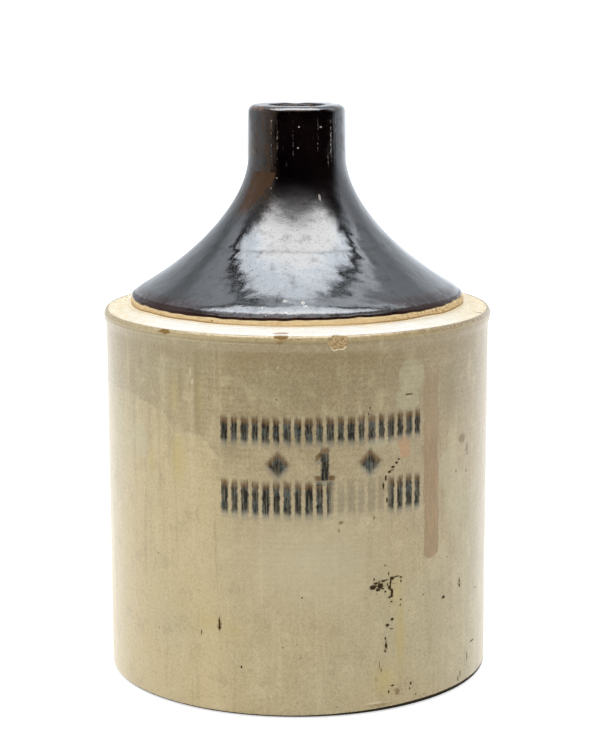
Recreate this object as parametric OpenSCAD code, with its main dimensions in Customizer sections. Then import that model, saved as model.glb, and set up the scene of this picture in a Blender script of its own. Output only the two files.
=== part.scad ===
// Stoneware crock jug: a straight pot with a bare ledge, a flared brown top luted on that ledge,
// a strap handle behind the neck, and the glazes that coat the clay.
// Millimetres, +Z up, origin at the middle of the foot, the handle towards +Y.

/* [Pot] */
// Outside width of the clay wall
pot_d = 178.4; // [168:0.2:196]
// Height of the pot at the crown of its rim
pot_h = 172.4; // [130:0.2:220]
// Thickness of the wall
wall_t = 7; // [6:0.5:10]
// Height of the floor above the table
floor_h = 9.5; // [8:0.5:15]
// Radius of the outer edge of the foot
foot_round = 2.8; // [1.8:0.2:5]
// Width of the ring that the pot stands on
foot_w = 14; // [8:1:20]
// Depth of the hollow inside that ring
hollow_h = 1.2; // [0.4:0.2:2.4]
// Width of the slope between that ring and the hollow
hollow_edge = 3; // [1:0.5:5]
// Radius of the corner between floor and wall
corner_round = 7; // [4:1:10]

/* [Rim and ledge] */
// How far the rim stands out from the wall
rim_out = 1; // [0.6:0.2:3]
// Radius of the edge of the rim
rim_round = 3; // [2:0.2:4]
// Height over which the rim fades into the wall
rim_fade = 5; // [3:0.5:8]
// Angle at which the ledge climbs towards the top, in degrees
ledge_slope = 7; // [3:1:12]
// Width of the ledge, from the rim to the foot of the top
ledge_w = 12.2; // [9:0.1:18]
// Thickness of the turned-in flange at its inner edge
flange_t = 4.5; // [3:0.5:7]
// Angle of the underside of that flange, in degrees
flange_slope = 45; // [35:1:55]

/* [Top] */
// Height of the top, from its foot to its lip
top_h = 91; // [84:0.5:104]
// Thickness of the clay at the foot of the top
top_foot_t = 7.5; // [6:0.5:10]
// Thickness of the clay in the flare of the top
top_wall_t = 6.5; // [5.5:0.5:9]
// Height of the upright outer edge of the foot
top_edge_h = 1.8; // [1:0.1:3]
// Height of its upright inner edge
top_inner_edge_h = 2; // [1.8:0.1:3]
// Radius of the shoulder above that edge
shoulder_round = 4.3; // [3:0.1:6]
// Angle of the flare where it leaves the shoulder, in degrees
shoulder_slope = 28.3; // [22:0.1:36]

/* [Neck] */
// Width of the neck where the flare ends
neck_d = 44.4; // [38:0.2:50]
// Width of the neck at the lip
lip_d = 43.8; // [38:0.2:50]
// Height of the straight neck
neck_h = 22.6; // [18:0.2:28]
// Radius of the outer edge of the lip
lip_round = 2.8; // [1.5:0.1:4]
// Width of the glazed bore that takes a cork
bore_d = 25; // [20:0.5:28]
// Radius of the edge of the mouth
mouth_round = 1.6; // [0.8:0.1:2.4]

/* [Seam] */
// Thickness of the slip that bonds the top to the pot
seam_t = 0.8; // [0.4:0.1:1.5]
// Radius of the bead of slip pressed out inside
seam_bead_r = 1.6; // [1:0.1:2]

/* [Handle] */
// Width of the strap
strap_w = 26; // [20:1:30]
// Thickness of the strap
strap_t = 9; // [7:0.5:11]
// Depth of the root of the strap below the lip
strap_drop = 18; // [15:0.5:22]
// Straight run of the strap out of the neck
strap_run = 7; // [5:0.5:12]
// Distance from the foot of the top in to the middle of the lower root of the strap
strap_inset = 19.8; // [17:0.1:26]
// How far the clay pressed round each root stands out from the strap
collar_out = 3; // [2:0.5:4]
// How far that clay climbs along the strap
collar_climb = 6; // [4:0.5:8]
// Thickness of that clay at its thin end
collar_tip_t = 0.6; // [0.4:0.1:1]

/* [Glaze] */
// Thickness of the grey glaze on the pot
pot_glaze_t = 0.5; // [0.3:0.1:0.8]
// Thickness of the brown glaze
brown_glaze_t = 0.5; // [0.3:0.1:0.8]
// Height of the bare clay edge below the brown glaze
bare_edge_h = 3; // [2:0.1:4.5]
// Angle up the edge of the rim at which the grey glaze ends, in degrees
rim_glaze_angle = 38; // [20:1:60]
// Angle down the edge of the foot at which the grey glaze ends, in degrees
foot_glaze_angle = 45; // [20:1:50]

/* [Hidden] */
$fn = 96;
collar_fn = 32;

// Colours of the fired clay, the slip in the seams and the two glazes.
clay_colour = [0.90, 0.81, 0.64];
slip_colour = [0.80, 0.66, 0.45];
grey_glaze_colour = [0.70, 0.64, 0.50];
brown_glaze_colour = [0.12, 0.07, 0.05];

// Steps in each curve of an outline, and how far the flare reaches from its two ends.
round_steps = 8;
fade_steps = 8;
flare_steps = 24;
flare_foot_share = 0.53;
flare_neck_share = 0.373;
inner_flare_start_share = 0.125;

// Radii and heights that follow from the sizes above.
wall_r = pot_d / 2;
inner_r = wall_r - wall_t;
rim_r = wall_r + rim_out;
rim_centre = [rim_r - rim_round, pot_h - rim_round];
ledge_start = rim_centre + rim_round * unit_at(90 - ledge_slope);
foot_r = rim_r - ledge_w;
seat_z = ledge_start.y + (ledge_start.x - foot_r) * tan(ledge_slope);
seat_in_r = foot_r - top_foot_t;
flange_foot_z = seat_z - flange_t - (inner_r - seat_in_r) * tan(flange_slope);
top_z = seat_z + seam_t;
lip_z = top_z + top_h;
neck_r = neck_d / 2;
neck_z = lip_z - neck_h;
lip_r = lip_d / 2;
bore_r = bore_d / 2;
clay_bore_r = bore_r + brown_glaze_t;
bore_top_z = lip_z - mouth_round;
shoulder_centre = [foot_r - shoulder_round, top_z + top_edge_h];
flare_foot = shoulder_centre + shoulder_round * unit_at(90 - shoulder_slope);
flare_neck = [neck_r, neck_z];
flare_foot_pull = flare_foot_share * (flare_foot.x - neck_r);
flare_neck_pull = flare_neck_share * (neck_z - flare_foot.y);
flare_points = [
    flare_foot,
    flare_foot + flare_foot_pull * [-cos(shoulder_slope), sin(shoulder_slope)],
    flare_neck - [0, flare_neck_pull],
    flare_neck,
];

// Curves and outlines, as lists of [radius, height].
function unit_at(angle) = [cos(angle), sin(angle)];
function unit(v) = v / norm(v);
function left_of(v) = [-v.y, v.x];
function reversed(path) = [for (i = [len(path) - 1:-1:0]) path[i]];
function arc(centre, r, from, to) =
    [for (i = [0:round_steps]) centre + r * unit_at(from + (to - from) * i / round_steps)];
function bezier(p, t) =
    pow(1 - t, 3) * p[0] + 3 * pow(1 - t, 2) * t * p[1] + 3 * (1 - t) * t * t * p[2] + pow(t, 3) * p[3];
function bezier_way(p, t) =
    unit(pow(1 - t, 2) * (p[1] - p[0]) + 2 * (1 - t) * t * (p[2] - p[1]) + t * t * (p[3] - p[2]));

// A path moved sideways by d, to its left as it is travelled, with square corners kept square.
function beside(path, d) = [
    for (i = [0:len(path) - 1])
    let (
        before = left_of(unit(path[max(i, 1)] - path[max(i, 1) - 1])),
        after = left_of(unit(path[min(i + 1, len(path) - 1)] - path[min(i, len(path) - 2)])),
        middle = unit(before + after)
    )
    path[i] + d / (middle * before) * middle
];

// The outside of the pot, from the foot up to the rim.
function pot_foot_arc(end_angle) =
    arc([wall_r - foot_round, foot_round], foot_round, end_angle, 0);
function rim_fade_curve() = [
    for (i = [1:fade_steps])
    [wall_r + rim_out * (1 - cos(180 * i / fade_steps)) / 2, rim_centre.y - rim_fade * (1 - i / fade_steps)]
];
function pot_outside(foot_angle, rim_angle) = concat(
    pot_foot_arc(foot_angle),
    [[wall_r, rim_centre.y - rim_fade]],
    rim_fade_curve(),
    [for (p = arc(rim_centre, rim_round, 0, rim_angle)) if (p.y > rim_centre.y) p]
);

// The inside of the pot, from the middle of its floor up to the seat of the top.
pot_inside = concat(
    [[0, floor_h]],
    arc([inner_r - corner_round, floor_h + corner_round], corner_round, -90, 0),
    [[inner_r, flange_foot_z], [seat_in_r, seat_z - flange_t], [seat_in_r, seat_z]]
);

// The bead of slip that the top presses out on the inside of the seam.
seam_middle_z = (seat_z + top_z) / 2;
seam_bead = arc([seat_in_r, seam_middle_z], seam_bead_r, 270, 90);

// The outside of the top, from its foot up to the mouth.
shoulder_arc = arc(shoulder_centre, shoulder_round, 0, 90 - shoulder_slope);
flare = [for (i = [1:flare_steps]) bezier(flare_points, i / flare_steps)];
lip_arc = arc([lip_r - lip_round, lip_z - lip_round], lip_round, 0, 90);
mouth_arc = arc([clay_bore_r + mouth_round, bore_top_z], mouth_round, 90, 180);
top_outside = concat([[foot_r, top_z]], shoulder_arc, flare, lip_arc, mouth_arc);

// The inside of the top, from its foot up to the mouth: its wall thickens from the flare to the neck.
top_inside = concat(
    [[seat_in_r, top_z], [seat_in_r, top_z + top_inner_edge_h]],
    [
        for (i = [inner_flare_start_share * flare_steps:flare_steps])
        let (t = i / flare_steps, wall = top_wall_t + (neck_r - clay_bore_r - top_wall_t) * t)
        bezier(flare_points, t) + wall * left_of(bezier_way(flare_points, t))
    ],
    [[clay_bore_r, bore_top_z]]
);

// The bare clay edge ends where the brown glaze begins.
glaze_edge_angle = asin((bare_edge_h - top_edge_h) / shoulder_round);
glazed_top_outside = concat(
    arc(shoulder_centre, shoulder_round, glaze_edge_angle, 90 - shoulder_slope),
    flare, lip_arc, mouth_arc
);

// A coat of glaze on one side of a path: a positive thickness lies to the left of it.
module coat(path, t) {
    rotate_extrude() polygon(concat(path, reversed(beside(path, t))));
}

module clay_pot() {
    hollow_r = wall_r - foot_round - foot_w;
    color(clay_colour)
    rotate_extrude()
    polygon(concat(
        [[0, hollow_h], [hollow_r - hollow_edge, hollow_h], [hollow_r, 0]],
        pot_outside(-90, 90 - ledge_slope),
        [[foot_r, seat_z]],
        reversed(pot_inside)
    ));
}

module clay_top() {
    color(clay_colour)
    rotate_extrude()
    polygon(concat(top_outside, reversed(top_inside)));
}

module top_seam_slip() {
    color(slip_colour)
    rotate_extrude()
    polygon(concat(
        [[seat_in_r, seat_z], [foot_r, seat_z], [foot_r, top_z], [seat_in_r, top_z]],
        reversed(seam_bead)
    ));
}

module pot_glaze() {
    color(grey_glaze_colour)
    coat(pot_outside(-foot_glaze_angle, rim_glaze_angle), -pot_glaze_t);
}

module inside_glaze() {
    pot_part = [for (p = pot_inside) if (p.y < seat_z) p];
    top_part = [for (p = top_inside) if (p.y > top_z) p];
    color(brown_glaze_colour)
    coat(concat(pot_part, seam_bead, top_part), brown_glaze_t);
}

// The solid body that the outside of the clay top closes off, for cutting what meets it.
module top_body() {
    rotate_extrude()
    polygon(concat([[0, top_z]], top_outside, [[0, bore_top_z]]));
}

// The share of the way along the flare at which it has a radius, found by halving.
function flare_share(r, low = 0, high = 1, turns = 20) =
    let (t = (low + high) / 2)
    turns == 0 ? t
    : bezier(flare_points, t).x > r ? flare_share(r, t, high, turns - 1)
    : flare_share(r, low, t, turns - 1);

// The strap: level out of the neck, a quarter bend, then down to the flare.
// Its path lies in the YZ plane, and its points are [distance from the axis, height].
strap_start = [neck_r, lip_z - strap_drop];
strap_r = foot_r - strap_inset;
strap_bend_r = strap_r - neck_r - strap_run;
strap_bend_centre = strap_start + [strap_run, -strap_bend_r];
strap_foot = bezier(flare_points, flare_share(strap_r));
strap_foot_way = bezier_way(flare_points, flare_share(strap_r));
strap_bury = strap_w / 2;

// The section of the strap, thin along X and wide along Y, grown by a thickness.
module strap_section(grow) {
    r = strap_t / 2 + grow;
    side = (strap_w - strap_t) / 2;
    square([2 * r, 2 * side], center = true);
    for (y = [-side, side]) translate([0, y]) circle(r = r);
}

// Stands what is drawn in the XY plane up in the YZ plane.
module stand() {
    rotate([90, 0, 90]) children();
}

// The whole strap, with both ends buried in the top, grown by a thickness.
module strap(grow) {
    stand()
    translate([strap_bend_centre.x, strap_bend_centre.y, 0]) {
        rotate(90)
        translate([strap_bend_r, 0, 0])
        rotate([-90, 0, 0])
        linear_extrude(strap_run + strap_bury)
        strap_section(grow);

        rotate_extrude(angle = 90)
        translate([strap_bend_r, 0])
        strap_section(grow);

        translate([strap_bend_r, 0, 0])
        rotate([90, 0, 0])
        linear_extrude(strap_bend_centre.y - flare_foot.y)
        strap_section(grow);
    }
}

// A slab as wide as the grown strap, from a point, along an angle in the YZ plane.
module strap_slab(from, angle, l, grow) {
    stand()
    translate([from.x, from.y, 0])
    rotate([0, 90, angle])
    linear_extrude(l)
    rotate(90)
    strap_section(grow);
}

// Clay pressed round a root of the strap: wide where it lies on the top, thin where it ends on the strap.
module root_clay(from, angle, square_angle, grow) {
    tip = from + (collar_climb + grow) * unit_at(angle);
    hull($fn = collar_fn) {
        strap_slab(from - strap_bury * unit_at(square_angle), square_angle, strap_bury, collar_out + grow);
        strap_slab(tip - collar_tip_t * unit_at(angle), angle, collar_tip_t, collar_tip_t + grow);
    }
}

module neck_root(grow) {
    root_clay(strap_start, 0, 0, grow);
}

module shoulder_root(grow) {
    root_clay(strap_foot, 90, atan2(-strap_foot_way.x, strap_foot_way.y), grow);
}

module clay_handle() {
    color(clay_colour)
    difference() {
        strap(0);
        top_body();
    }
}

module neck_root_clay() {
    color(slip_colour)
    difference() {
        neck_root(0);
        strap(0);
        top_body();
    }
}

module shoulder_root_clay() {
    color(slip_colour)
    difference() {
        shoulder_root(0);
        strap(0);
        top_body();
    }
}

// Everything at the handle, grown by a thickness.
module handle_body(grow) {
    strap(grow);
    neck_root(grow);
    shoulder_root(grow);
}

module handle_glaze() {
    color(brown_glaze_colour)
    difference() {
        handle_body(brown_glaze_t);
        handle_body(0);
        top_body();
    }
}

module top_glaze() {
    color(brown_glaze_colour)
    difference() {
        coat(glazed_top_outside, -brown_glaze_t);
        handle_body(brown_glaze_t);
    }
}

clay_pot();
clay_top();
clay_handle();
top_seam_slip();
neck_root_clay();
shoulder_root_clay();
pot_glaze();
top_glaze();
handle_glaze();
inside_glaze();
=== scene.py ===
# %% [markdown]
# # A stoneware shoulder jug in Blender
#
# The jug is a straight pot with a bare, sloping ledge, a brown top that flares up to a narrow neck,
# and a strap handle behind the neck. Its clay and its glazes are separate pieces.
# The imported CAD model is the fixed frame: it says where each piece is and how large it is.
# Everything below is dressed onto that frame, in metres, with +Z up and the photographed side towards -Y.

# %% Load the frame
import math

import bmesh
import bpy
import numpy as np
from mathutils import Matrix, Vector


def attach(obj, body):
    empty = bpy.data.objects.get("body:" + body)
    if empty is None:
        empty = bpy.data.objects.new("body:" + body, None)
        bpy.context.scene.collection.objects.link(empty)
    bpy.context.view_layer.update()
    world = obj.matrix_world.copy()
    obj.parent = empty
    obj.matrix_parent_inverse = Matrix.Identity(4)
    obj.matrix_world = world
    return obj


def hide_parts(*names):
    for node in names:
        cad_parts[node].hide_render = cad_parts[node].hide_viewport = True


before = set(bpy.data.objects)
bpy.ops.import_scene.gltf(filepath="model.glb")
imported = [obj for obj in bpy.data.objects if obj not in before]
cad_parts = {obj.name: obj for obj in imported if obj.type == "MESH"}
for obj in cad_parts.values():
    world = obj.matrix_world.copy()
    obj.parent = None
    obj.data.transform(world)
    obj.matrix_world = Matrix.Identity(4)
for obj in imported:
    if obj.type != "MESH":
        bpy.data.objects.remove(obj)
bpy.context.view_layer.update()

# %% [markdown]
# A thrown pot is round, so nearly every piece here is an outline turned about the upright axis.
# Blender's Screw modifier could turn it, but a grid of numbers in Python lets each ring wander a little,
# as clay does on a wheel. One helper makes all the turned pieces: rows follow the outline,
# columns go round the jug, and angle 0 is the photographed side.

# %% Turn an outline into a closed mesh
MM = 0.001


def new_piece(name, points, faces):
    """Puts a smooth mesh of these points and faces into the scene."""
    mesh = bpy.data.meshes.new(name)
    mesh.from_pydata(points, [], faces)
    mesh.validate()
    mesh.shade_smooth()
    piece = bpy.data.objects.new(name, mesh)
    bpy.context.scene.collection.objects.link(piece)
    print(name, len(mesh.polygons), "faces")
    return piece


def turned_mesh(name, radius, height, angle, loop=True):
    """Makes a closed mesh from rows of rings: radius and height are [row, column] in millimetres."""
    rows, columns = radius.shape
    x = radius * np.sin(angle) * MM
    y = -radius * np.cos(angle) * MM
    points = []
    first = []
    for k in range(rows):
        first.append(len(points))
        if radius[k].max() < 1e-6:
            points.append((0.0, 0.0, float(height[k].mean()) * MM))
        else:
            points.extend(zip(x[k].tolist(), y[k].tolist(), (height[k] * MM).tolist()))
    single = [radius[k].max() < 1e-6 for k in range(rows)]
    faces = []
    for k in range(rows if loop else rows - 1):
        n = (k + 1) % rows
        for j in range(columns):
            i = (j + 1) % columns
            corners = [first[k] + (0 if single[k] else j)]
            if not single[k]:
                corners.append(first[k] + i)
            corners.append(first[n] + (0 if single[n] else i))
            if not single[n]:
                corners.append(first[n] + j)
            faces.append(corners)
    return new_piece(name, points, faces)


# %% [markdown]
# The outlines are lists of radius and height in millimetres, and repeat the sizes of the CAD model.
# Arcs and one Bezier curve are enough for a jug. Rows are set close together where an edge is tight
# or worn, and far apart where the wall is straight, so the mesh spends its faces where they show.

# %% Outline helpers
def arc(centre, r, start, end, steps):
    a = np.radians(np.linspace(start, end, steps + 1))
    return np.stack([centre[0] + r * np.cos(a), centre[1] + r * np.sin(a)], 1)


def straight(a, b, steps):
    t = np.linspace(0, 1, steps + 1)[:, None]
    return (1 - t) * np.array(a, float) + t * np.array(b, float)


def bezier(p, steps):
    t = np.linspace(0, 1, steps + 1)[:, None]
    p = np.array(p, float)
    return (1 - t) ** 3 * p[0] + 3 * (1 - t) ** 2 * t * p[1] + 3 * (1 - t) * t * t * p[2] + t ** 3 * p[3]


def joined(*parts):
    """Joins stretches of an outline and drops points that repeat."""
    path = np.concatenate(parts)
    step = np.hypot(*np.diff(path, axis=0).T)
    return path[np.concatenate([[True], step > 1e-6])]


def way_along(path):
    """The length of the outline up to each of its points."""
    return np.concatenate([[0], np.cumsum(np.hypot(*np.diff(path, axis=0).T))])


def normals_of(path):
    """Unit normals to the right of the way along an outline: outwards where it climbs."""
    way = np.gradient(path, axis=0)
    way /= np.hypot(way[:, 0], way[:, 1])[:, None]
    return np.stack([way[:, 1], -way[:, 0]], 1)


# %% [markdown]
# The pot's sizes are those of the CAD model: a wall 89.2 mm out, a glaze 0.5 mm thick on it, and a rim
# that stands 1 mm proud. The top sits 12.2 mm in from the rim. A coat reaches a hair, SINK, into its clay,
# so no gap shows between them.

# %% Sizes of the jug, in millimetres
WALL_R = 89.2
WALL_T = 7.0
FLOOR_Z = 9.5
CORNER_ROUND = 7.0
GLAZE_T = 0.5
RIM_OUT = 0.96
RIM_R = WALL_R + RIM_OUT
RIM_TOP_Z = 172.4
RIM_ROUND = 3.0
RIM_FADE = 5.0
FOOT_ROUND = 2.8
FOOT_RING_W = 14.0
FOOT_R = 78.0
SEAT_IN_R = 70.5
SEAT_Z = 173.553
TOP_Z = SEAT_Z + 0.8
LIP_Z = TOP_Z + 91.0
NECK_R = 22.2
NECK_Z = LIP_Z - 22.6
LIP_R = 21.9
LIP_ROUND = 2.8
MOUTH_ROUND = 1.6
BORE_R = 13.0
RIM_CENTRE = (RIM_R - RIM_ROUND, RIM_TOP_Z - RIM_ROUND)
WALL_FACE_R = WALL_R + GLAZE_T
INNER_R = WALL_R - WALL_T
FLANGE_Z = SEAT_Z - 4.5
FLANGE_FOOT_Z = FLANGE_Z - (INNER_R - SEAT_IN_R)
SINK = 0.02

# %% [markdown]
# Marks on the jug are easier to place by where they are seen. This camera is the photograph's: its place,
# tilt and lens were worked out from the ellipses of the foot, the ledge and the mouth.
# The helper sends a line of sight through a picture point and finds where it meets the round wall.

# %% The photograph's camera
CAMERA_AT = np.array([4.0, -946.4, 317.3])
CAMERA_TILT = math.radians(10.79)
CAMERA_ROLL = math.radians(-0.13)
FOCAL_PIXELS = 2031.0
PICTURE = (612, 756)
SENSOR = 36.0

camera_data = bpy.data.cameras.new("jug_camera")
camera_data.sensor_width = SENSOR
camera_data.sensor_fit = "AUTO"
camera_data.lens = FOCAL_PIXELS / PICTURE[1] * SENSOR
camera_data.clip_start = 0.01
camera = bpy.data.objects.new("jug_camera", camera_data)
bpy.context.scene.collection.objects.link(camera)
camera.matrix_world = (
    Matrix.Translation(CAMERA_AT * MM)
    @ Matrix.Rotation(math.pi / 2 - CAMERA_TILT, 4, "X")
    @ Matrix.Rotation(CAMERA_ROLL, 4, "Z")
)
bpy.context.scene.camera = camera
print("lens", round(camera_data.lens, 2), "mm")


# %% Where a picture point meets a round wall
def sight(px, py):
    dx, dy = px - PICTURE[0] / 2, py - PICTURE[1] / 2
    a = dx * math.cos(CAMERA_ROLL) + dy * math.sin(CAMERA_ROLL)
    b = -dx * math.sin(CAMERA_ROLL) + dy * math.cos(CAMERA_ROLL)
    right, up = a / FOCAL_PIXELS, -b / FOCAL_PIXELS
    return np.array([
        right,
        math.cos(CAMERA_TILT) + up * math.sin(CAMERA_TILT),
        -math.sin(CAMERA_TILT) + up * math.cos(CAMERA_TILT),
    ])


def on_wall(px, py, r=WALL_FACE_R):
    """The angle round the jug and the height at which a line of sight meets a cylinder."""
    d = sight(px, py)
    a = d[0] ** 2 + d[1] ** 2
    b = CAMERA_AT[0] * d[0] + CAMERA_AT[1] * d[1]
    c = CAMERA_AT[0] ** 2 + CAMERA_AT[1] ** 2 - r * r
    t = (-b - math.sqrt(max(b * b - a * c, 0))) / a
    p = CAMERA_AT + t * d
    return math.atan2(p[0], -p[1]), p[2]


print("picture centre meets the wall at", on_wall(306, 378))

# %% [markdown]
# Clay and glaze wander: nothing is turned to a hundredth of a millimetre. Smooth waves that fit a whole
# number of times round the jug have no seam at the back, so the same helper serves every turned piece.


# %% Waves round the jug
def waves(angle, counts, size, seed):
    rng = np.random.default_rng(seed)
    total = np.zeros_like(angle)
    for n in counts:
        total += rng.normal() / math.sqrt(len(counts)) * np.sin(n * angle + rng.uniform(0, 2 * math.pi))
    return size * total


def uneven_angles(stretches):
    """Angles round the jug with their own spacing in each stretch: (from, to, step) in degrees."""
    out = []
    for start, end, step in stretches:
        n = max(1, int(round((end - start) / step)))
        out.append(np.linspace(start, end, n, endpoint=False))
    return np.radians(np.concatenate(out))


# %% [markdown]
# The rim has two knocks where the glaze has flaked off and the tan clay shows in a shallow shell,
# and some smaller nicks. They are real hollows in the mesh: a knock catches the light on its lower
# edge and makes the rim's outline uneven, which a painted spot can't do. The clay and the coat of glaze
# take the same hollow, and stored masks tell the glaze's material where clay shows and where the broken
# lower lip of a large knock gets a painted highlight.

# %% Knocks in the rim
KNOCKS = [
    # picture x, picture y, half width, half height, depth (millimetres)
    (281, 336.9, 3.0, 1.6, 0.6),
    (338, 343.2, 4.2, 4.0, 1.3),
    (164, 331.5, 3.2, 1.0, 0.35),
    (452, 321.5, 2.2, 0.8, 0.3),
    (476, 316.5, 2.6, 0.8, 0.3),
]


def knock_depth(angle, height):
    """How deep the knocks are at each point, how much of them is bare clay, and a painted highlight on their
    lower lips.
    """
    depth = np.zeros_like(height)
    bare = np.zeros_like(height)
    lip = np.zeros_like(height)
    for i, (px, py, half_w, half_h, deep) in enumerate(KNOCKS):
        a0, z0 = on_wall(px, py, RIM_R + GLAZE_T)
        u = (angle - a0) * RIM_R
        v = height - z0
        turn = np.arctan2(v / half_h, u / half_w)
        edge = 1 + waves(turn, (2, 3, 5, 7), 0.14, 40 + i)
        rho = np.hypot(u / half_w, v / half_h) / edge
        bowl = np.clip(1 - rho ** 2, 0, None) ** 0.7
        ripples = 1 + 0.14 * np.sin(9 * rho + i) * np.clip(1 - rho, 0, 1)
        depth = np.maximum(depth, deep * bowl * ripples)
        bare = np.maximum(bare, np.clip((1 - rho) * 9, 0, 1))
        # A painted highlight on the lower lip of a large knock.
        lip = np.maximum(lip, np.clip(1 - np.abs(rho - 0.9) / 0.16, 0, 1) * (v < -0.35 * half_h)
                         * (half_h > 2))
    return depth, bare, lip


angles_of_pot = uneven_angles([
    (-180, -62, 1.6), (-62, -46, 0.8), (-46, -39, 0.35), (-39, -12, 0.8), (-12, 0.5, 0.24), (0.5, 7, 0.5),
    (7, 17.5, 0.24), (17.5, 55, 0.8), (55, 75, 0.5), (75, 180, 1.6),
])
print(len(angles_of_pot), "columns round the pot")

# %% [markdown]
# The pot's clay is one closed piece: floor, wall, rim and ledge. The ledge is scraped on the wheel, so it
# carries fine rings, and its outer edge is slightly worn. The inside and the underside stay plain.

# %% The clay of the pot
CLOSE_ROWS_Z = 158
foot_round_at = (WALL_R - FOOT_ROUND, FOOT_ROUND)


def wall_stretch(low_steps, high_steps, rim_steps):
    """The outside of the wall from the rounded foot to the rim, where it swells outwards."""
    rim_swell = [[WALL_R + RIM_OUT * (1 - math.cos(math.pi * i / rim_steps)) / 2,
                  RIM_CENTRE[1] - RIM_FADE * (1 - i / rim_steps)] for i in range(1, rim_steps + 1)]
    return joined(straight((WALL_R, FOOT_ROUND), (WALL_R, CLOSE_ROWS_Z), low_steps),
                  straight((WALL_R, CLOSE_ROWS_Z), (WALL_R, RIM_CENTRE[1] - RIM_FADE), high_steps),
                  rim_swell)


rim_arc = arc(RIM_CENTRE, RIM_ROUND, 0, 83, 14)
ledge = straight(rim_arc[-1], (FOOT_R, SEAT_Z), 36)
foot_out_r = WALL_R - FOOT_ROUND
foot_in_r = foot_out_r - FOOT_RING_W
pot_outline = joined(
    [[0, 1.2]], straight((foot_in_r - 3, 1.2), (foot_in_r, 0), 3),
    straight((foot_in_r, 0), (foot_out_r, 0), 4), arc(foot_round_at, FOOT_ROUND, -90, 0, 12),
    wall_stretch(20, 16, 14), rim_arc, ledge,
    straight((FOOT_R, SEAT_Z), (SEAT_IN_R, SEAT_Z), 3),
    [[SEAT_IN_R, FLANGE_Z], [INNER_R, FLANGE_FOOT_Z]],
    straight((INNER_R, FLANGE_FOOT_Z), (INNER_R, FLOOR_Z + CORNER_ROUND), 6),
    arc((INNER_R - CORNER_ROUND, FLOOR_Z + CORNER_ROUND), CORNER_ROUND, 0, -90, 6),
    [[0, FLOOR_Z]],
)
pot_angle = np.broadcast_to(angles_of_pot, (len(pot_outline), len(angles_of_pot)))
pot_r = np.repeat(pot_outline[:, :1], len(angles_of_pot), 1)
pot_z = np.repeat(pot_outline[:, 1:], len(angles_of_pot), 1)

outer_face = (pot_r > 88) & (pot_z > 150)
pot_r = pot_r - np.where(outer_face, knock_depth(pot_angle, pot_z)[0] * 1.02, 0)

on_ledge = (pot_r > FOOT_R + 0.3) & (pot_z > 171.6) & (pot_r < 88.6)
rings = (0.05 * np.sin(pot_r * 5.1 + waves(pot_angle, (1, 2, 3), 0.7, 5))
         + waves(pot_angle, (2, 3, 5, 9), 0.05, 6))
pot_z = pot_z + np.where(on_ledge, rings, 0)
pot_clay = turned_mesh("pot_clay", pot_r, pot_z, pot_angle, loop=False)

# %% [markdown]
# The grey glaze is a coat with its own thickness, so its upper edge on the rim and its lower edge at the
# foot are real steps. It sits 0.5 mm proud of the clay and swells and thins by a few hundredths.
# The masks of the knocks are stored on the mesh as attributes, "bare_clay" and one for a painted highlight
# on the lower lip of a large knock, which the material reads.


# %% A coat of glaze
def add_values(piece, label, values):
    """Stores a number for each point of a mesh, for its material to read."""
    layer = piece.data.attributes.new(label, "FLOAT", "POINT")
    layer.data.foreach_set("value", np.ascontiguousarray(values, dtype=np.float32).ravel())


def coat_of(name, path, outer_shift, inner_shift, angle, shape=None):
    """A closed coat along an outline: outer and inner faces are the outline moved along its normals."""
    normal = normals_of(path)
    outer = path + normal * outer_shift[:, None]
    inner = (path + normal * inner_shift[:, None])[::-1]
    loop = np.concatenate([outer, inner])
    grid = np.broadcast_to(angle, (len(loop), len(angle)))
    r = np.repeat(loop[:, :1], len(angle), 1)
    z = np.repeat(loop[:, 1:], len(angle), 1)
    extra = {}
    if shape:
        r, z, extra = shape(grid, r, z, len(path))
    piece = turned_mesh(name, r, z, grid)
    for label, values in extra.items():
        add_values(piece, label, values)
    return piece


def rounded_edge(way, width):
    """A coat's swelling from nothing at its edge to full thickness."""
    return np.sqrt(np.clip(1 - (1 - np.clip(way / width, 0, 1)) ** 2, 0, 1))


# %% The grey glaze on the pot
glaze_path = joined(arc(foot_round_at, FOOT_ROUND, -42, 0, 12), wall_stretch(52, 22, 16),
                    arc(RIM_CENTRE, RIM_ROUND, 0, 58, 14))
glaze_way = way_along(glaze_path)
swell = np.minimum(rounded_edge(glaze_way, 0.7), rounded_edge(glaze_way[-1] - glaze_way, 0.7))


def glaze_shape(angle, r, z, outer_rows):
    depth, bare, lip = knock_depth(angle, z)
    r = r - depth
    wander = waves(angle, (2, 3, 5, 8), 0.05, 11) + 0.04 * np.sin(z / 17 + 2 * np.sin(angle))
    turning = 0.05 * np.exp(-((z - 167.4) / 0.45) ** 2) + 0.04 * np.exp(-((z - 169.3) / 0.4) ** 2)
    outer = np.arange(r.shape[0])[:, None] < outer_rows
    middle = np.clip((z - 6) / 8, 0, 1) * np.clip((168 - z) / 6, 0, 1)
    r = r + np.where(outer, -np.abs(wander) * middle - turning, 0)
    return r, z, {"bare_clay": bare, "lip_highlight": lip}


pot_glaze_coat = coat_of("pot_glaze_coat", glaze_path, GLAZE_T * swell, np.full(len(glaze_path), -SINK),
                         angles_of_pot, glaze_shape)

# %% [markdown]
# The top is a second thrown piece, luted onto the ledge. A ring of its clay stays bare below the brown
# glaze, scored with fine grooves where a tool trimmed it. Only that ring shows, so the rows are close
# there and far apart higher up, where the glaze covers the clay. The photograph shows a band of light just
# above the edge, so the flare doesn't meet its tight edge at once: a broad turn comes first.

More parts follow.
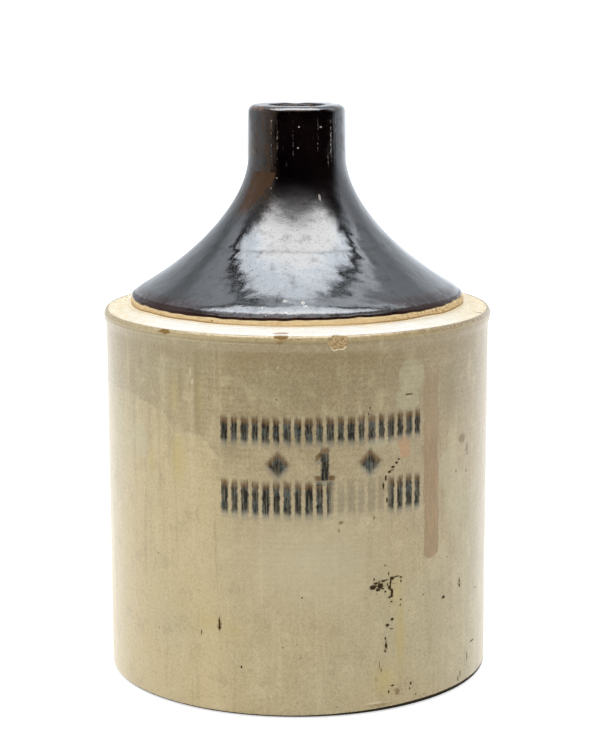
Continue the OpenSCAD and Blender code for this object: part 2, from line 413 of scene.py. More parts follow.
# %% The outline of the top
SLOPE = math.radians(28.3)
SHOULDER_ROUND = 4.3
cad_foot = np.array([FOOT_R - SHOULDER_ROUND * (1 - math.sin(SLOPE)),
                     TOP_Z + 1.8 + SHOULDER_ROUND * math.cos(SLOPE)])
flare_reach = 0.53 * (cad_foot[0] - NECK_R)
CAD_FLARE = [
    cad_foot,
    cad_foot + flare_reach * np.array([-math.cos(SLOPE), math.sin(SLOPE)]),
    np.array([NECK_R, NECK_Z - 0.373 * (NECK_Z - cad_foot[1])]),
    np.array([NECK_R, NECK_Z]),
]
EDGE_ROUND = 3.0
TURN_AT = 43.0


def rest_of_bezier(p, t):
    """The control points of the stretch of a Bezier curve from t to its end."""
    ab, bc, cd = (p[i] + t * (p[i + 1] - p[i]) for i in range(3))
    abc, bcd = ab + t * (bc - ab), bc + t * (cd - bc)
    return [abc + t * (bcd - abc), bcd, cd, p[3]]


FLARE_POINTS = rest_of_bezier(CAD_FLARE, 0.055)
first_step = FLARE_POINTS[1] - FLARE_POINTS[0]
broad_end = 90 - math.degrees(math.atan2(first_step[1], -first_step[0]))
tight_end_way, broad_end_way = (np.array([math.cos(math.radians(a)), math.sin(math.radians(a))])
                                for a in (TURN_AT, broad_end))
BROAD_ROUND = ((FOOT_R - EDGE_ROUND * (1 - tight_end_way[0]) - FLARE_POINTS[0][0])
               / (tight_end_way[0] - broad_end_way[0]))
broad_centre = FLARE_POINTS[0] - BROAD_ROUND * broad_end_way
tight_centre = broad_centre + (BROAD_ROUND - EDGE_ROUND) * tight_end_way
print("broad turn of the shoulder", round(BROAD_ROUND, 1), "mm from height",
      round(float(tight_centre[1]), 2))
SHOULDER_ARC = joined(arc(tight_centre, EDGE_ROUND, 0, TURN_AT, 10),
                      arc(broad_centre, BROAD_ROUND, TURN_AT, broad_end, 14))
LIP_ARC = arc((LIP_R - LIP_ROUND, LIP_Z - LIP_ROUND), LIP_ROUND, 0, 90, 12)
MOUTH_ARC = arc((BORE_R + MOUTH_ROUND, LIP_Z - MOUTH_ROUND), MOUTH_ROUND, 90, 180, 8)
top_outside = joined(straight((FOOT_R, TOP_Z), (FOOT_R, tight_centre[1]), 8), SHOULDER_ARC,
                     bezier(FLARE_POINTS, 60), LIP_ARC, MOUTH_ARC)

# %% The clay of the top
LOWER_WALL_T = 6.5
inside_points = bezier(CAD_FLARE, 24)[3:]
inside_normals = normals_of(bezier(CAD_FLARE, 24))[3:]
inside_wall = LOWER_WALL_T + (NECK_R - BORE_R - LOWER_WALL_T) * np.linspace(3 / 24, 1, 22)
top_inside = joined(
    [[SEAT_IN_R, TOP_Z], [SEAT_IN_R, TOP_Z + 2]], inside_points - inside_normals * inside_wall[:, None],
    [[BORE_R, LIP_Z - MOUTH_ROUND]],
)
ring_band = joined(straight((FOOT_R, TOP_Z), (FOOT_R, tight_centre[1]), 9), SHOULDER_ARC)
top_loop = joined(ring_band, bezier(FLARE_POINTS, 30), LIP_ARC, MOUTH_ARC, top_inside[::-1])
angles_of_top = uneven_angles([(-180, -75, 1.5), (-75, 75, 0.6), (75, 180, 1.5)])
top_angle = np.broadcast_to(angles_of_top, (len(top_loop), len(angles_of_top)))
top_r = np.repeat(top_loop[:, :1], len(angles_of_top), 1)
top_h = np.repeat(top_loop[:, 1:], len(angles_of_top), 1)
in_band = (top_r > 76) & (top_h < 180)
scored = (0.07 * np.sin(top_h * 8.5 + waves(top_angle, (1, 2, 4), 0.5, 21))
          * np.clip(top_h - TOP_Z - 0.1, 0, 1))
ragged = waves(top_angle, (7, 12, 19, 31, 44), 0.05, 22)
top_r = top_r + np.where(in_band, scored + ragged - 0.12, 0)
top_clay = turned_mesh("top_clay", top_r, top_h, top_angle)

# %% [markdown]
# The brown glaze was poured over the top and ran to a wavy, slightly thickened edge. The height of that
# edge was read from the photograph at eleven places, and guessed on the far side. So was the top of the
# slip at the ring's foot. How far each point is below the one and above the other is stored on the clay
# as "below_edge" and "above_slip". At the lip the glaze thins, and behind the mouth the lip dips a little.

# %% The edge of the brown glaze
# degrees round the jug: height in millimetres, and for the slip its height over the foot of the top
EDGE = {-180: 178.3, -120: 178.4, -90: 177.6, -66.6: 177.2, -46.2: 176.9, -33: 176.9, -21.9: 176.8,
        -11.8: 176.7, 0.9: 177.1, 13.8: 177.3, 24: 177.4, 35.5: 177.4, 49.7: 177.5, 69.2: 178.0,
        100: 178.2, 140: 178.4, 180: 178.3}
SLIP = {-180: -0.2, -90: -0.1, -60: 0.1, -40: 0.1, -20: -0.1, 0: -0.1, 20: -0.1, 33: 0.1, 48: 0.4,
        62: 0.2, 80: 0.0, 180: -0.2}


def read_off(angle, heights):
    return np.interp(np.degrees(angle), list(heights), list(heights.values()))


def edge_height(angle):
    return read_off(angle, EDGE) + waves(angle, (9, 14, 22, 35, 52), 0.16, 31)


slip_top = TOP_Z + read_off(top_angle, SLIP) + waves(top_angle, (6, 11, 17), 0.12, 35)
add_values(top_clay, "below_edge", edge_height(top_angle) - top_h)
add_values(top_clay, "above_slip", top_h - slip_top)


# %% The brown glaze on the top
top_way = way_along(top_outside)
top_normals = normals_of(top_outside)
angles_of_glaze = uneven_angles([(-180, -80, 1.2), (-80, 80, 0.5), (80, 180, 1.2)])
share = np.concatenate([np.linspace(0, 0.04, 18, endpoint=False),
                        np.linspace(0.04, 0.83, 110, endpoint=False), np.linspace(0.83, 1, 40)])
start_way = np.interp(edge_height(angles_of_glaze), top_outside[:60, 1], top_way[:60])
ways = start_way[None, :] + share[:, None] * (top_way[-1] - start_way[None, :])
glaze_angle = np.broadcast_to(angles_of_glaze, ways.shape)


def along(values, way):
    return np.interp(way, top_way, values)


base_r, base_z = along(top_outside[:, 0], ways), along(top_outside[:, 1], ways)
normal_r, normal_z = along(top_normals[:, 0], ways), along(top_normals[:, 1], ways)
run = ways - start_way[None, :]
bead = 0.22 * np.exp(-((run - 1.0) / 0.8) ** 2)
on_flare = np.clip((base_z - 181) / 4, 0, 1) * np.clip((244 - base_z) / 6, 0, 1)
throwing = 0.05 * np.exp(-((base_z - 202.6 - waves(glaze_angle, (1, 2), 0.4, 33)) / 0.7) ** 2)
slow = waves(glaze_angle, (2, 3, 5), 0.06, 34) * np.sin(base_z / 9.0) * on_flare
near_lip = np.clip((base_z - 262) / 3, 0, 1)
thick = (GLAZE_T + bead + slow - throwing) * rounded_edge(run, 0.6)
thick = np.minimum(thick, GLAZE_T + 0.33)
lip_dip = near_lip * (0.35 * np.exp(-((np.abs(glaze_angle) - math.pi) / 0.25) ** 2)
                      + np.abs(waves(glaze_angle, (3, 5, 7), 0.12, 36)))
thick = np.where(base_z > LIP_Z - 4, np.minimum(thick, GLAZE_T - 0.01), thick)
outer_r, outer_z = base_r + normal_r * thick, base_z + normal_z * thick - lip_dip * normal_z
inner_r, inner_z = base_r - normal_r * SINK, base_z - normal_z * SINK - lip_dip * normal_z
top_glaze_coat = turned_mesh(
    "top_glaze_coat",
    np.concatenate([outer_r, inner_r[::-1]]), np.concatenate([outer_z, inner_z[::-1]]),
    np.broadcast_to(angles_of_glaze, (2 * len(share), len(angles_of_glaze))),
)

# %% [markdown]
# The inside has a thin brown lining. From outside, only its last stretch in the bore shows, so it is a
# plain turned coat that follows the inner faces of the two clay pieces.

# %% The lining inside the jug
SEAM_BEAD_R = 1.6
seam_bead = arc((SEAT_IN_R, (SEAT_Z + TOP_Z) / 2), SEAM_BEAD_R, 270, 90, 10)
pot_side = joined(
    straight((20, FLOOR_Z), (INNER_R - CORNER_ROUND, FLOOR_Z), 8),
    arc((INNER_R - CORNER_ROUND, FLOOR_Z + CORNER_ROUND), CORNER_ROUND, -90, 0, 8),
    straight((INNER_R, FLOOR_Z + CORNER_ROUND), (INNER_R, FLANGE_FOOT_Z), 8), [[SEAT_IN_R, FLANGE_Z]],
)
lining_path = joined([[0.5, FLOOR_Z]], pot_side, seam_bead, top_inside[1:-1],
                     straight((BORE_R, NECK_Z), (BORE_R, LIP_Z - MOUTH_ROUND), 24))
lining = coat_of("inside_lining", lining_path, np.full(len(lining_path), SINK),
                 np.full(len(lining_path), -GLAZE_T), uneven_angles([(-180, 180, 1.5)]))

# %% [markdown]
# The handle is a pulled strap of clay. A pulled strap is swept: one section carried along a bent line.
# Where it meets the neck and the shoulder, clay was pressed into a smooth root. The helper measures how
# far each point of the strap is from the body of the top. The section swells along a quarter circle as it
# comes near, which is what a thumb does. Swelling moves the points, so it is worked out in a few rounds.

# %% The line and the section of the strap
STRAP_HALF_W = 13.0
STRAP_HALF_T = 4.5
BEND_R = 29.0
BEND_CENTRE = np.array([NECK_R + 7.0, LIP_Z - 18.0 - BEND_R])
ROOT_ROUND = 8.0
WALL_MIDDLE = BORE_R + 1.5
level_run = straight((8.0, BEND_CENTRE[1] + BEND_R), (BEND_CENTRE[0], BEND_CENTRE[1] + BEND_R), 44)
bend_run = arc(BEND_CENTRE, BEND_R, 90, 0, 36)
down_run = straight((BEND_CENTRE[0] + BEND_R, BEND_CENTRE[1]), (BEND_CENTRE[0] + BEND_R, 181.0), 92)
strap_line = joined(level_run, bend_run, down_run)
strap_way = np.gradient(strap_line, axis=0)
strap_way /= np.hypot(strap_way[:, 0], strap_way[:, 1])[:, None]
strap_out = np.stack([-strap_way[:, 1], strap_way[:, 0]], 1)

section_turn = np.linspace(0, 2 * math.pi, 88, endpoint=False)
flat_half = STRAP_HALF_W - STRAP_HALF_T
section_x = flat_half * np.sign(np.cos(section_turn)) * np.abs(np.cos(section_turn)) ** 0.55
section_x = section_x + STRAP_HALF_T * np.cos(section_turn)
section_w = STRAP_HALF_T * np.sign(np.sin(section_turn)) * np.abs(np.sin(section_turn)) ** 0.72
section = np.stack([section_x, section_w], 1)
section_way = np.roll(section, -1, 0) - np.roll(section, 1, 0)
section_normal = np.stack([section_way[:, 1], -section_way[:, 0]], 1)
section_normal /= np.hypot(section_normal[:, 0], section_normal[:, 1])[:, None]


def strap_points(offset):
    """Points of the strap's surface, [row, column, xyz], moved out by offset, all in millimetres."""
    x = section[None, :, 0] + offset * section_normal[None, :, 0]
    w = section[None, :, 1] + offset * section_normal[None, :, 1]
    y = strap_line[:, :1] + w * strap_out[:, :1]
    z = strap_line[:, 1:] + w * strap_out[:, 1:]
    y = np.maximum(y, np.sqrt(np.clip(WALL_MIDDLE ** 2 - x ** 2, 0, None)))
    return np.stack([x, y, z], -1)


def from_top(points):
    """Signed distance from the outside of the top's clay, in millimetres, at each point."""
    r = np.hypot(points[..., 0], points[..., 1]).ravel()
    z = points[..., 2].ravel()
    a, b = top_outside[:-1], top_outside[1:]
    d = b - a
    best = np.full(r.shape, 1e9)
    sign = np.ones(r.shape)
    for (ar, az), (dr, dz) in zip(a, d):
        t = np.clip(((r - ar) * dr + (z - az) * dz) / (dr * dr + dz * dz), 0, 1)
        gap_r, gap_z = r - ar - t * dr, z - az - t * dz
        gap = np.hypot(gap_r, gap_z)
        closer = gap < best
        best = np.where(closer, gap, best)
        sign = np.where(closer, np.sign(gap_r * dz - gap_z * dr), sign)
    return (best * sign).reshape(points.shape[:-1])


root = np.zeros((len(strap_line), len(section)))
for _ in range(14):
    reach = np.clip(from_top(strap_points(root)), 0, ROOT_ROUND)
    wanted = ROOT_ROUND - np.sqrt(ROOT_ROUND ** 2 - (ROOT_ROUND - reach) ** 2)
    root = 0.6 * root + 0.4 * wanted
gap = from_top(strap_points(np.zeros_like(root)))
pulled = 0.30 * np.exp(-((np.abs(section_x) - 8.5) / 2.6) ** 2) * (np.abs(section_w) > 2)
wander_along = 0.12 * np.sin(np.arange(len(strap_line)) / 9.0)[:, None] * np.cos(section_turn)[None, :]
strap_skin = np.broadcast_to(pulled[None, :], gap.shape) + np.abs(wander_along)
print("strap rows", len(strap_line), "nearest to the top", round(float(gap.min()), 2))

# %% [markdown]
# The strap, the clay pressed round its two roots and the glaze over them come from the same rows of points,
# moved out by different amounts. So each lies on the one below it.


# %% The four pieces of the handle
def ring_piece(name, points, loop):
    """A closed mesh from rings of points, with its faces turned outwards."""
    rows, columns = points.shape[:2]
    flat = (points.reshape(-1, 3) * MM).tolist()
    faces = []
    for k in range(rows if loop else rows - 1):
        n = (k + 1) % rows
        for j in range(columns):
            i = (j + 1) % columns
            faces.append((k * columns + j, k * columns + i, n * columns + i, n * columns + j))
    if not loop:
        faces.append(tuple(range(columns))[::-1])
        faces.append(tuple((rows - 1) * columns + j for j in range(columns)))
    piece = new_piece(name, flat, faces)
    work = bmesh.new()
    work.from_mesh(piece.data)
    bmesh.ops.recalc_face_normals(work, faces=work.faces)
    work.to_mesh(piece.data)
    work.free()
    return piece


strap_clay = ring_piece("strap_clay", strap_points(strap_skin), loop=False)
middle_row = len(level_run) + len(bend_run) // 2
neck_rows = slice(3, middle_row - 8)
shoulder_rows = slice(middle_row + 10, len(strap_line) - 2)


def root_piece(name, rows):
    outer = strap_points(strap_skin + root + SINK)[rows]
    inner = strap_points(strap_skin - SINK)[rows]
    return ring_piece(name, np.concatenate([outer, inner[::-1]]), loop=True)


neck_root = root_piece("neck_root", neck_rows)
shoulder_root = root_piece("shoulder_root", shoulder_rows)
coat_outer = strap_points(strap_skin + root + GLAZE_T + 0.03)[2:-1]
coat_inner = strap_points(strap_skin + root + 0.04)[2:-1]
handle_glaze_coat = ring_piece("handle_glaze_coat", np.concatenate([coat_outer, coat_inner[::-1]]),
                               loop=True)

# %% [markdown]
# A material here is a recipe of nodes. Building it with short calls keeps each recipe readable. What a node
# gives is a wire, and wires can be added and multiplied like numbers: each sum makes its math node. A
# number or a wire can go into any input. Colours are written as they are seen on a screen, 0 to 255, or by
# the name of a tone, and turned into the linear values that Blender mixes.


# %% Wires that can be added and multiplied
class Wire:
    """What a node gives. A sum or product of wires makes the node that works it out."""

    __array_ufunc__ = None  # a numpy number then leaves the sum to the wire

    def __init__(self, recipe, socket):
        self.recipe = recipe
        self.socket = socket

    def __add__(self, other):
        return self.recipe.math("ADD", self, other)

    def __sub__(self, other):
        return self.recipe.math("SUBTRACT", self, other)

    def __rsub__(self, other):
        return self.recipe.math("SUBTRACT", other, self)

    def __mul__(self, other):
        return self.recipe.math("MULTIPLY", self, other)

    def __truediv__(self, other):
        return self.recipe.math("DIVIDE", self, other)

    def __abs__(self):
        return self.recipe.math("ABSOLUTE", self)

    __radd__ = __add__
    __rmul__ = __mul__


def tone(colour):
    """Turns a colour as it is seen, or the name of one, into linear values. Wires stay as they are."""
    if isinstance(colour, str):
        colour = TONES[colour]
    if isinstance(colour, Wire) or len(colour) > 3:
        return colour
    shares = [c / 255 for c in colour]
    return (*(c / 12.92 if c <= 0.04045 else ((c + 0.055) / 1.055) ** 2.4 for c in shares), 1.0)


# %% Short calls for node recipes
class Recipe:
    """The nodes of a material, or of another owner such as the world, made with short calls."""

    def __init__(self, name, owner=None):
        self.owner = owner or bpy.data.materials.new(name)
        self.owner.use_nodes = True
        self.tree = self.owner.node_tree
        self.tree.nodes.clear()

    def put(self, value, socket):
        if isinstance(value, Wire):
            self.tree.links.new(value.socket, socket)
        else:
            socket.default_value = value

    def node(self, kind, inputs=(), output=0, **settings):
        """Makes a node, fills its inputs by place or by name, and gives one of its outputs."""
        made = self.tree.nodes.new(kind)
        for key, value in settings.items():
            setattr(made, key, value)
        for key, value in inputs.items() if isinstance(inputs, dict) else enumerate(inputs):
            self.put(value, made.inputs[key])
        return Wire(self, made.outputs[output])

    def show(self, surface, kind="ShaderNodeOutputMaterial"):
        """Sends a surface to the output, which ends the recipe."""
        self.put(surface, self.tree.nodes.new(kind).inputs[0])
        return self.owner

    def math(self, operation, *values):
        return self.node("ShaderNodeMath", values, operation=operation)

    def vector(self, operation, *values):
        output = "Value" if operation == "LENGTH" else "Vector"
        return self.node("ShaderNodeVectorMath", values, output, operation=operation)

    def stretch(self, where, x, y, z):
        return self.vector("MULTIPLY", where, (x, y, z))

    def largest(self, first, *others):
        for other in others:
            first = self.math("MAXIMUM", first, other)
        return first

    def fade(self, value, low, high, smooth=True):
        """0 at low, 1 at high, and clamped outside."""
        return self.node("ShaderNodeMapRange", {"Value": value, "From Min": low, "From Max": high},
                         "Result", interpolation_type="SMOOTHSTEP" if smooth else "LINEAR")

    def mix(self, share, a, b):
        """Colour a where the share is 0, colour b where it is 1."""
        return self.node("ShaderNodeMix", {0: share, 6: tone(a), 7: tone(b)}, 2, data_type="RGBA")

    def lay(self, share, colour):
        """Lays a colour over the recipe's own, as strongly as the share says."""
        self.colour = self.mix(share, self.colour, colour)

    def veil(self, value, low, high, share, colour):
        """Lays a colour where a value passes from low to high, at most as strongly as the share says."""
        self.lay(self.fade(value, low, high) * share, colour)

    def noise(self, where, scale, detail=3.0, roughness=0.5):
        return self.node("ShaderNodeTexNoise", {"Vector": where, "Scale": scale, "Detail": detail,
                                                "Roughness": roughness})

    def split(self, vector, kind="ShaderNodeSeparateXYZ"):
        """The three parts of a vector or, with another kind of node, of a colour."""
        first = self.node(kind, (vector,))
        return [Wire(self, part) for part in first.socket.node.outputs]

    def cells(self, where, scale):
        """How far the middle of the nearest cell is, and three numbers drawn for that cell."""
        distance = self.node("ShaderNodeTexVoronoi", {"Vector": where, "Scale": scale}, "Distance")
        hue = Wire(self, distance.socket.node.outputs["Color"])
        return distance, *self.split(hue, "ShaderNodeSeparateColor")

    def join(self, x, y, z=0.0):
        return self.node("ShaderNodeCombineXYZ", (x, y, z))

    def stored(self, label):
        """A number that is stored on the mesh."""
        return self.node("ShaderNodeAttribute", output="Fac", attribute_name=label)

    def ray(self, kind):
        """1 for rays of this kind, 0 for others."""
        return self.node("ShaderNodeLightPath", output="Is " + kind + " Ray")

    def place(self):
        """The object's own coordinates in millimetres, and their three parts."""
        where = self.stretch(self.node("ShaderNodeTexCoord", output="Object"), 1000.0, 1000.0, 1000.0)
        return where, *self.split(where)

    def turn(self, x, y):
        """The angle round the jug from its front, positive to the right."""
        return self.math("ARCTAN2", x, y * -1.0)

    def spots(self, where, list_of_spots):
        """The strongest of some soft spots: (round, height, half width, half height, strength)."""
        total = 0.0
        for u, z, half_w, half_h, strength in list_of_spots:
            local = self.vector("MULTIPLY_ADD", where, (1 / half_w, 1 / half_h, 0.0),
                                (-u / half_w, -z / half_h, 0.0))
            bright = self.math("MULTIPLY_ADD", self.vector("LENGTH", local), -strength, strength)
            total = self.largest(total, bright)
        return total

    def bump(self, height, strength, distance):
        return self.node("ShaderNodeBump", {"Height": height, "Strength": strength,
                                            "Distance": distance})

    def finish(self, roughness, normal, **fixed):
        inputs = {"Base Color": self.colour, "Roughness": roughness, "Normal": normal}
        for key, value in fixed.items():
            inputs[key.replace("_", " ")] = value
        return self.show(self.node("ShaderNodeBsdfPrincipled", inputs))


# %% [markdown]
# The pot's glaze is a satin grey-buff. It is lighter low down, darker and more olive under the rim, and
# lighter on the left, which is painted light falling from that side. A tide line runs across it from a
# washing long ago. The large tones come from smooth fades in the distance round the jug and the height;
# seam-free noise makes them wander.
# Small marks are placed by the picture point at which each is seen.


# %% Marks on the pot, by the picture point at which each is seen
def wall_spots(rows, radius=WALL_FACE_R):
    """Turns (picture x, picture y, half width, half height, strength) into places on a round wall."""
    made = []
    for px, py, half_w, half_h, strength in rows:
        angle, height = on_wall(px, py, radius)
        made.append((angle * radius, height, half_w, half_h, strength))
    return made


DARK_SPECKS = wall_spots([
    (219.5, 624, 0.45, 4.6, 1), (219.5, 627.5, 0.8, 1.1, 1), (201.5, 632, 0.35, 2, 0.9),
    (241.5, 667, 0.6, 0.9, 1), (302, 598, 0.5, 0.5, 0.9), (297, 645, 0.45, 0.5, 0.8),
    (301, 658, 0.45, 0.45, 0.8), (372.9, 587.5, 2.25, 1.45, 1.2), (380.4, 586, 1.95, 1.74, 1.1),
    (376, 583.4, 1.8, 0.87, 0.9), (378, 590, 1.5, 1.16, 1), (374, 579.5, 0.6, 1.16, 0.8),
    (383.3, 581, 1.8, 0.87, 0.9), (385.3, 591.7, 1.05, 0.72, 0.8), (388.8, 573.4, 0.75, 0.72, 0.8),
    (391.9, 578.3, 1.5, 1.16, 1.1), (390.6, 582.5, 0.75, 2.46, 1), (389.5, 587.5, 1.2, 1.59, 1),
    (392, 591.7, 1.05, 1.89, 1.1), (391.8, 595.5, 1.05, 1.16, 1.1), (389.5, 597.3, 0.9, 0.87, 1),
    (400.8, 577.2, 1.05, 0.72, 1), (396.6, 576.3, 2.4, 0.51, 0.8), (401, 581, 0.6, 1.3, 0.8),
    (400.8, 599.4, 0.9, 0.58, 0.8), (400.3, 605, 0.6, 0.87, 0.7), (385.3, 565.6, 0.75, 0.51, 0.8),
    (391.7, 601.5, 0.75, 0.58, 0.8), (409, 610.5, 0.52, 0.6, 0.7), (392.3, 619.2, 1.17, 0.96, 1.1),
    (387.4, 625.2, 1.3, 1.08, 1.1), (391.6, 628.7, 1.3, 0.42, 0.8), (385.3, 638.2, 0.65, 0.96, 1),
    (386, 645.2, 0.91, 2.04, 1.1), (385.2, 651, 0.65, 1.08, 1), (379.3, 665, 0.3, 2.6, 0.8),
    (381, 670, 0.39, 1.92, 0.8), (392.7, 685.4, 1.3, 0.72, 1), (388.8, 691.7, 0.65, 1.08, 1),
    (410.8, 683.2, 0.78, 0.96, 1.1), (409.6, 688.2, 0.65, 0.84, 1), (415.6, 694, 0.65, 0.6, 0.9),
    (423.8, 694, 0.6, 0.5, 0.7), (429, 687, 0.4, 0.9, 0.6), (443.3, 597, 1.4, 1.04, 1.4),
    (423.6, 594.5, 0.6, 0.5, 0.9), (447, 557, 0.6, 0.5, 0.8), (475, 587, 1.26, 0.65, 0.9),
    (459.2, 579.6, 0.7, 1.3, 1.1), (459.2, 585.4, 0.84, 1.04, 1.1), (277, 400, 0.5, 0.5, 0.8),
    (369, 414, 0.5, 1.1, 0.7), (370, 408, 0.7, 0.7, 1), (483, 431, 0.6, 0.7, 0.9),
    (409, 394, 3.2, 0.5, 0.8), (383.5, 486, 0.7, 2.4, 0.9), (386, 478, 0.8, 2, 0.9),
    (389.5, 472, 1.3, 0.9, 0.9), (393, 467, 1.3, 0.9, 0.9), (396.5, 462.5, 1.2, 0.9, 0.9),
    (399, 459, 0.8, 0.8, 0.8), (392, 470, 1.6, 0.5, 0.7), (387, 500, 0.8, 1.8, 0.8),
    (471.5, 640.5, 3.64, 0.52, 0.9), (466.8, 656, 0.7, 4.42, 0.7), (460, 673.5, 0.7, 2.34, 0.9),
    (457.8, 678.5, 0.7, 2.08, 0.9), (456, 471, 0.5, 1.4, 0.8), (148, 452, 0.4, 0.4, 0.6),
    (166, 333, 1.6, 0.5, 0.9), (160, 331, 0.9, 0.5, 0.8), (375, 586, 1.6, 0.6, 0.8),
    (382.5, 588.5, 1.4, 0.5, 0.8), (379, 582.5, 0.5, 1.4, 0.8), (386.5, 579.8, 1.6, 0.5, 0.8),
    (387.6, 584.5, 0.5, 1.4, 0.8), (390.8, 589.5, 0.6, 1.2, 0.9), (394, 577.2, 1.2, 0.4, 0.8),
    (389, 575.5, 0.4, 1.1, 0.7),
])
BROWN_STAINS = wall_spots([
    (462, 438, 4.2, 3.2, 0.8), (467, 448, 1.4, 4.4, 0.9), (466, 470, 1.2, 1.4, 0.9),
    (459, 582.5, 1.5, 2.2, 1.0), (341, 523, 1.3, 1.0, 0.8), (339, 531, 1.1, 1.0, 0.8),
    (397.5, 691, 1.8, 2.4, 0.9), (376, 680, 2.0, 4.0, 0.3), (381, 585, 5.5, 4.5, 0.35),
    (386, 645, 1.5, 5.0, 0.5), (164, 332, 4.2, 1.2, 0.9), (219.5, 624, 1.8, 6.0, 0.5),
    (374, 518, 1.0, 1.6, 0.6), (380, 705, 14.0, 1.4, 0.4), (281, 337.6, 3.8, 2.0, 2.6),
    (280, 341.5, 1.6, 1.9, 1.4),
])
YELLOW_WASHES = wall_spots([
    (400, 635, 4.0, 30.0, 1.2), (385, 680, 10.0, 12.0, 1.1), (396, 590, 7.0, 14.0, 0.9),
    (208, 622, 12.0, 8.0, 0.8), (232, 630, 12.0, 7.0, 0.7), (180, 605, 10.0, 10.0, 0.5),
    (178, 458, 6.0, 17.0, 1.2), (152, 460, 3.6, 9.0, 1.0), (174, 395, 5.0, 16.0, 0.8),
    (199, 400, 3.0, 20.0, 0.7), (136, 470, 3.0, 12.0, 0.6), (148, 640, 6.0, 20.0, 0.5),
])
PALE_MARKS = wall_spots([
    (190, 372, 0.8, 3.6, 0.7), (192, 382, 0.9, 2.4, 0.7), (278, 368, 0.5, 1.2, 0.7),
    (271.5, 697, 0.35, 0.5, 1.0), (409, 397, 2.8, 0.6, 0.5), (375, 703, 9.0, 0.9, 0.6),
    (150, 430, 0.6, 0.6, 0.6), (205, 560, 0.5, 0.5, 0.6), (368, 523, 0.6, 1.4, 0.8),
])
PALE_BLOOMS = wall_spots([
    (412, 376, 9.0, 10.0, 1.0), (408, 400, 8.0, 7.0, 1.0), (448, 470, 9.0, 12.0, 0.9),
    (455, 500, 10.0, 22.0, 0.8), (375, 445, 7.0, 4.0, 0.7), (140, 440, 12.0, 14.0, 0.5),
])
PALE_ZONES = wall_spots([
    (305, 562, 62.0, 40.0, 1.0), (345, 535, 40.0, 30.0, 0.7),
])
PINK_DRIPS = wall_spots([
    (404, 443, 4.0, 4.0, 1.0), (405, 450, 3.6, 4.6, 1.0),
])
SPATTER = wall_spots([
    (384, 587, 9.0, 8.0, 1.0), (388, 640, 3.0, 14.0, 0.7), (400, 688, 11.0, 5.0, 1.0),
    (466, 662, 7.0, 12.0, 0.8), (395, 606, 8.0, 6.0, 0.7),
])
OLIVE_STREAKS = wall_spots([
    (197, 395, 2.4, 28.0, 1.0), (180, 385, 2.4, 16.0, 0.8), (452, 385, 9.0, 26.0, 0.8),
    (300, 392, 30.0, 12.0, 0.4), (140, 365, 3.0, 12.0, 0.6), (165, 350, 14.0, 5.0, 0.5),
    (380, 380, 6.0, 16.0, 0.5), (232, 448, 8.0, 9.0, 0.8), (160, 480, 2.0, 12.0, 0.5),
])
# Two tones are painted light: the one for the left side, which is lit more, and "foot", a contact shadow
# along the base.
TONES = {"upper": (166, 149, 115), "lower": (177, 160, 120), "left": (192, 173, 128),
         "washed": (205, 186, 139), "olive": (134, 119, 82), "brown": (146, 125, 88),
         "green": (168, 162, 130), "cream": (209, 195, 156), "dirt": (124, 109, 80),
         "pink": (140, 110, 66), "drop": (180, 144, 104), "bloom": (184, 178, 146),
         "stain": (122, 96, 46), "wash": (186, 166, 98), "zone": (198, 186, 152),
         "scratch": (224, 212, 176), "slate": (100, 108, 106), "cobalt": (16, 14, 6),
         "speck": (42, 28, 6), "rust": (118, 86, 50), "foot": (22, 17, 10), "blue": (62, 70, 68)}
print(len(DARK_SPECKS) + len(BROWN_STAINS) + len(PALE_MARKS) + len(PALE_BLOOMS), "placed marks")

# %% [markdown]
# Between the marks, the glaze has a stencilled cobalt band. Here it is a plain one: a numeral 1 for the
# jug's size, with a diamond at each side, between two rows of short upright strokes.
# It was brushed on before firing, so it is blurred, patchy and drawn out downwards.

# %% The glaze of the pot
DRIP_LEFT, DRIP_TOP = on_wall(424.5, 440)
DRIP_RIGHT, DRIP_FOOT = on_wall(437.5, 556)
MARK_MIDDLE = on_wall(325, 465)
TIDE_LINE = [(133, 394), (161, 410), (175, 432), (200, 436), (206, 442), (214, 454), (234, 476),
             (250, 500)]
TIDE_POINTS = [(on_wall(*point)[0] * WALL_FACE_R, on_wall(*point)[1]) for point in TIDE_LINE]
ROW_HEIGHTS = [on_wall(325, py)[1] for py in (430, 464, 498)]
STROKE_PITCH = 4.7
ROW_HALF_RUN = 47.5
print("rows of the cobalt band at", [round(z, 1) for z in ROW_HEIGHTS])


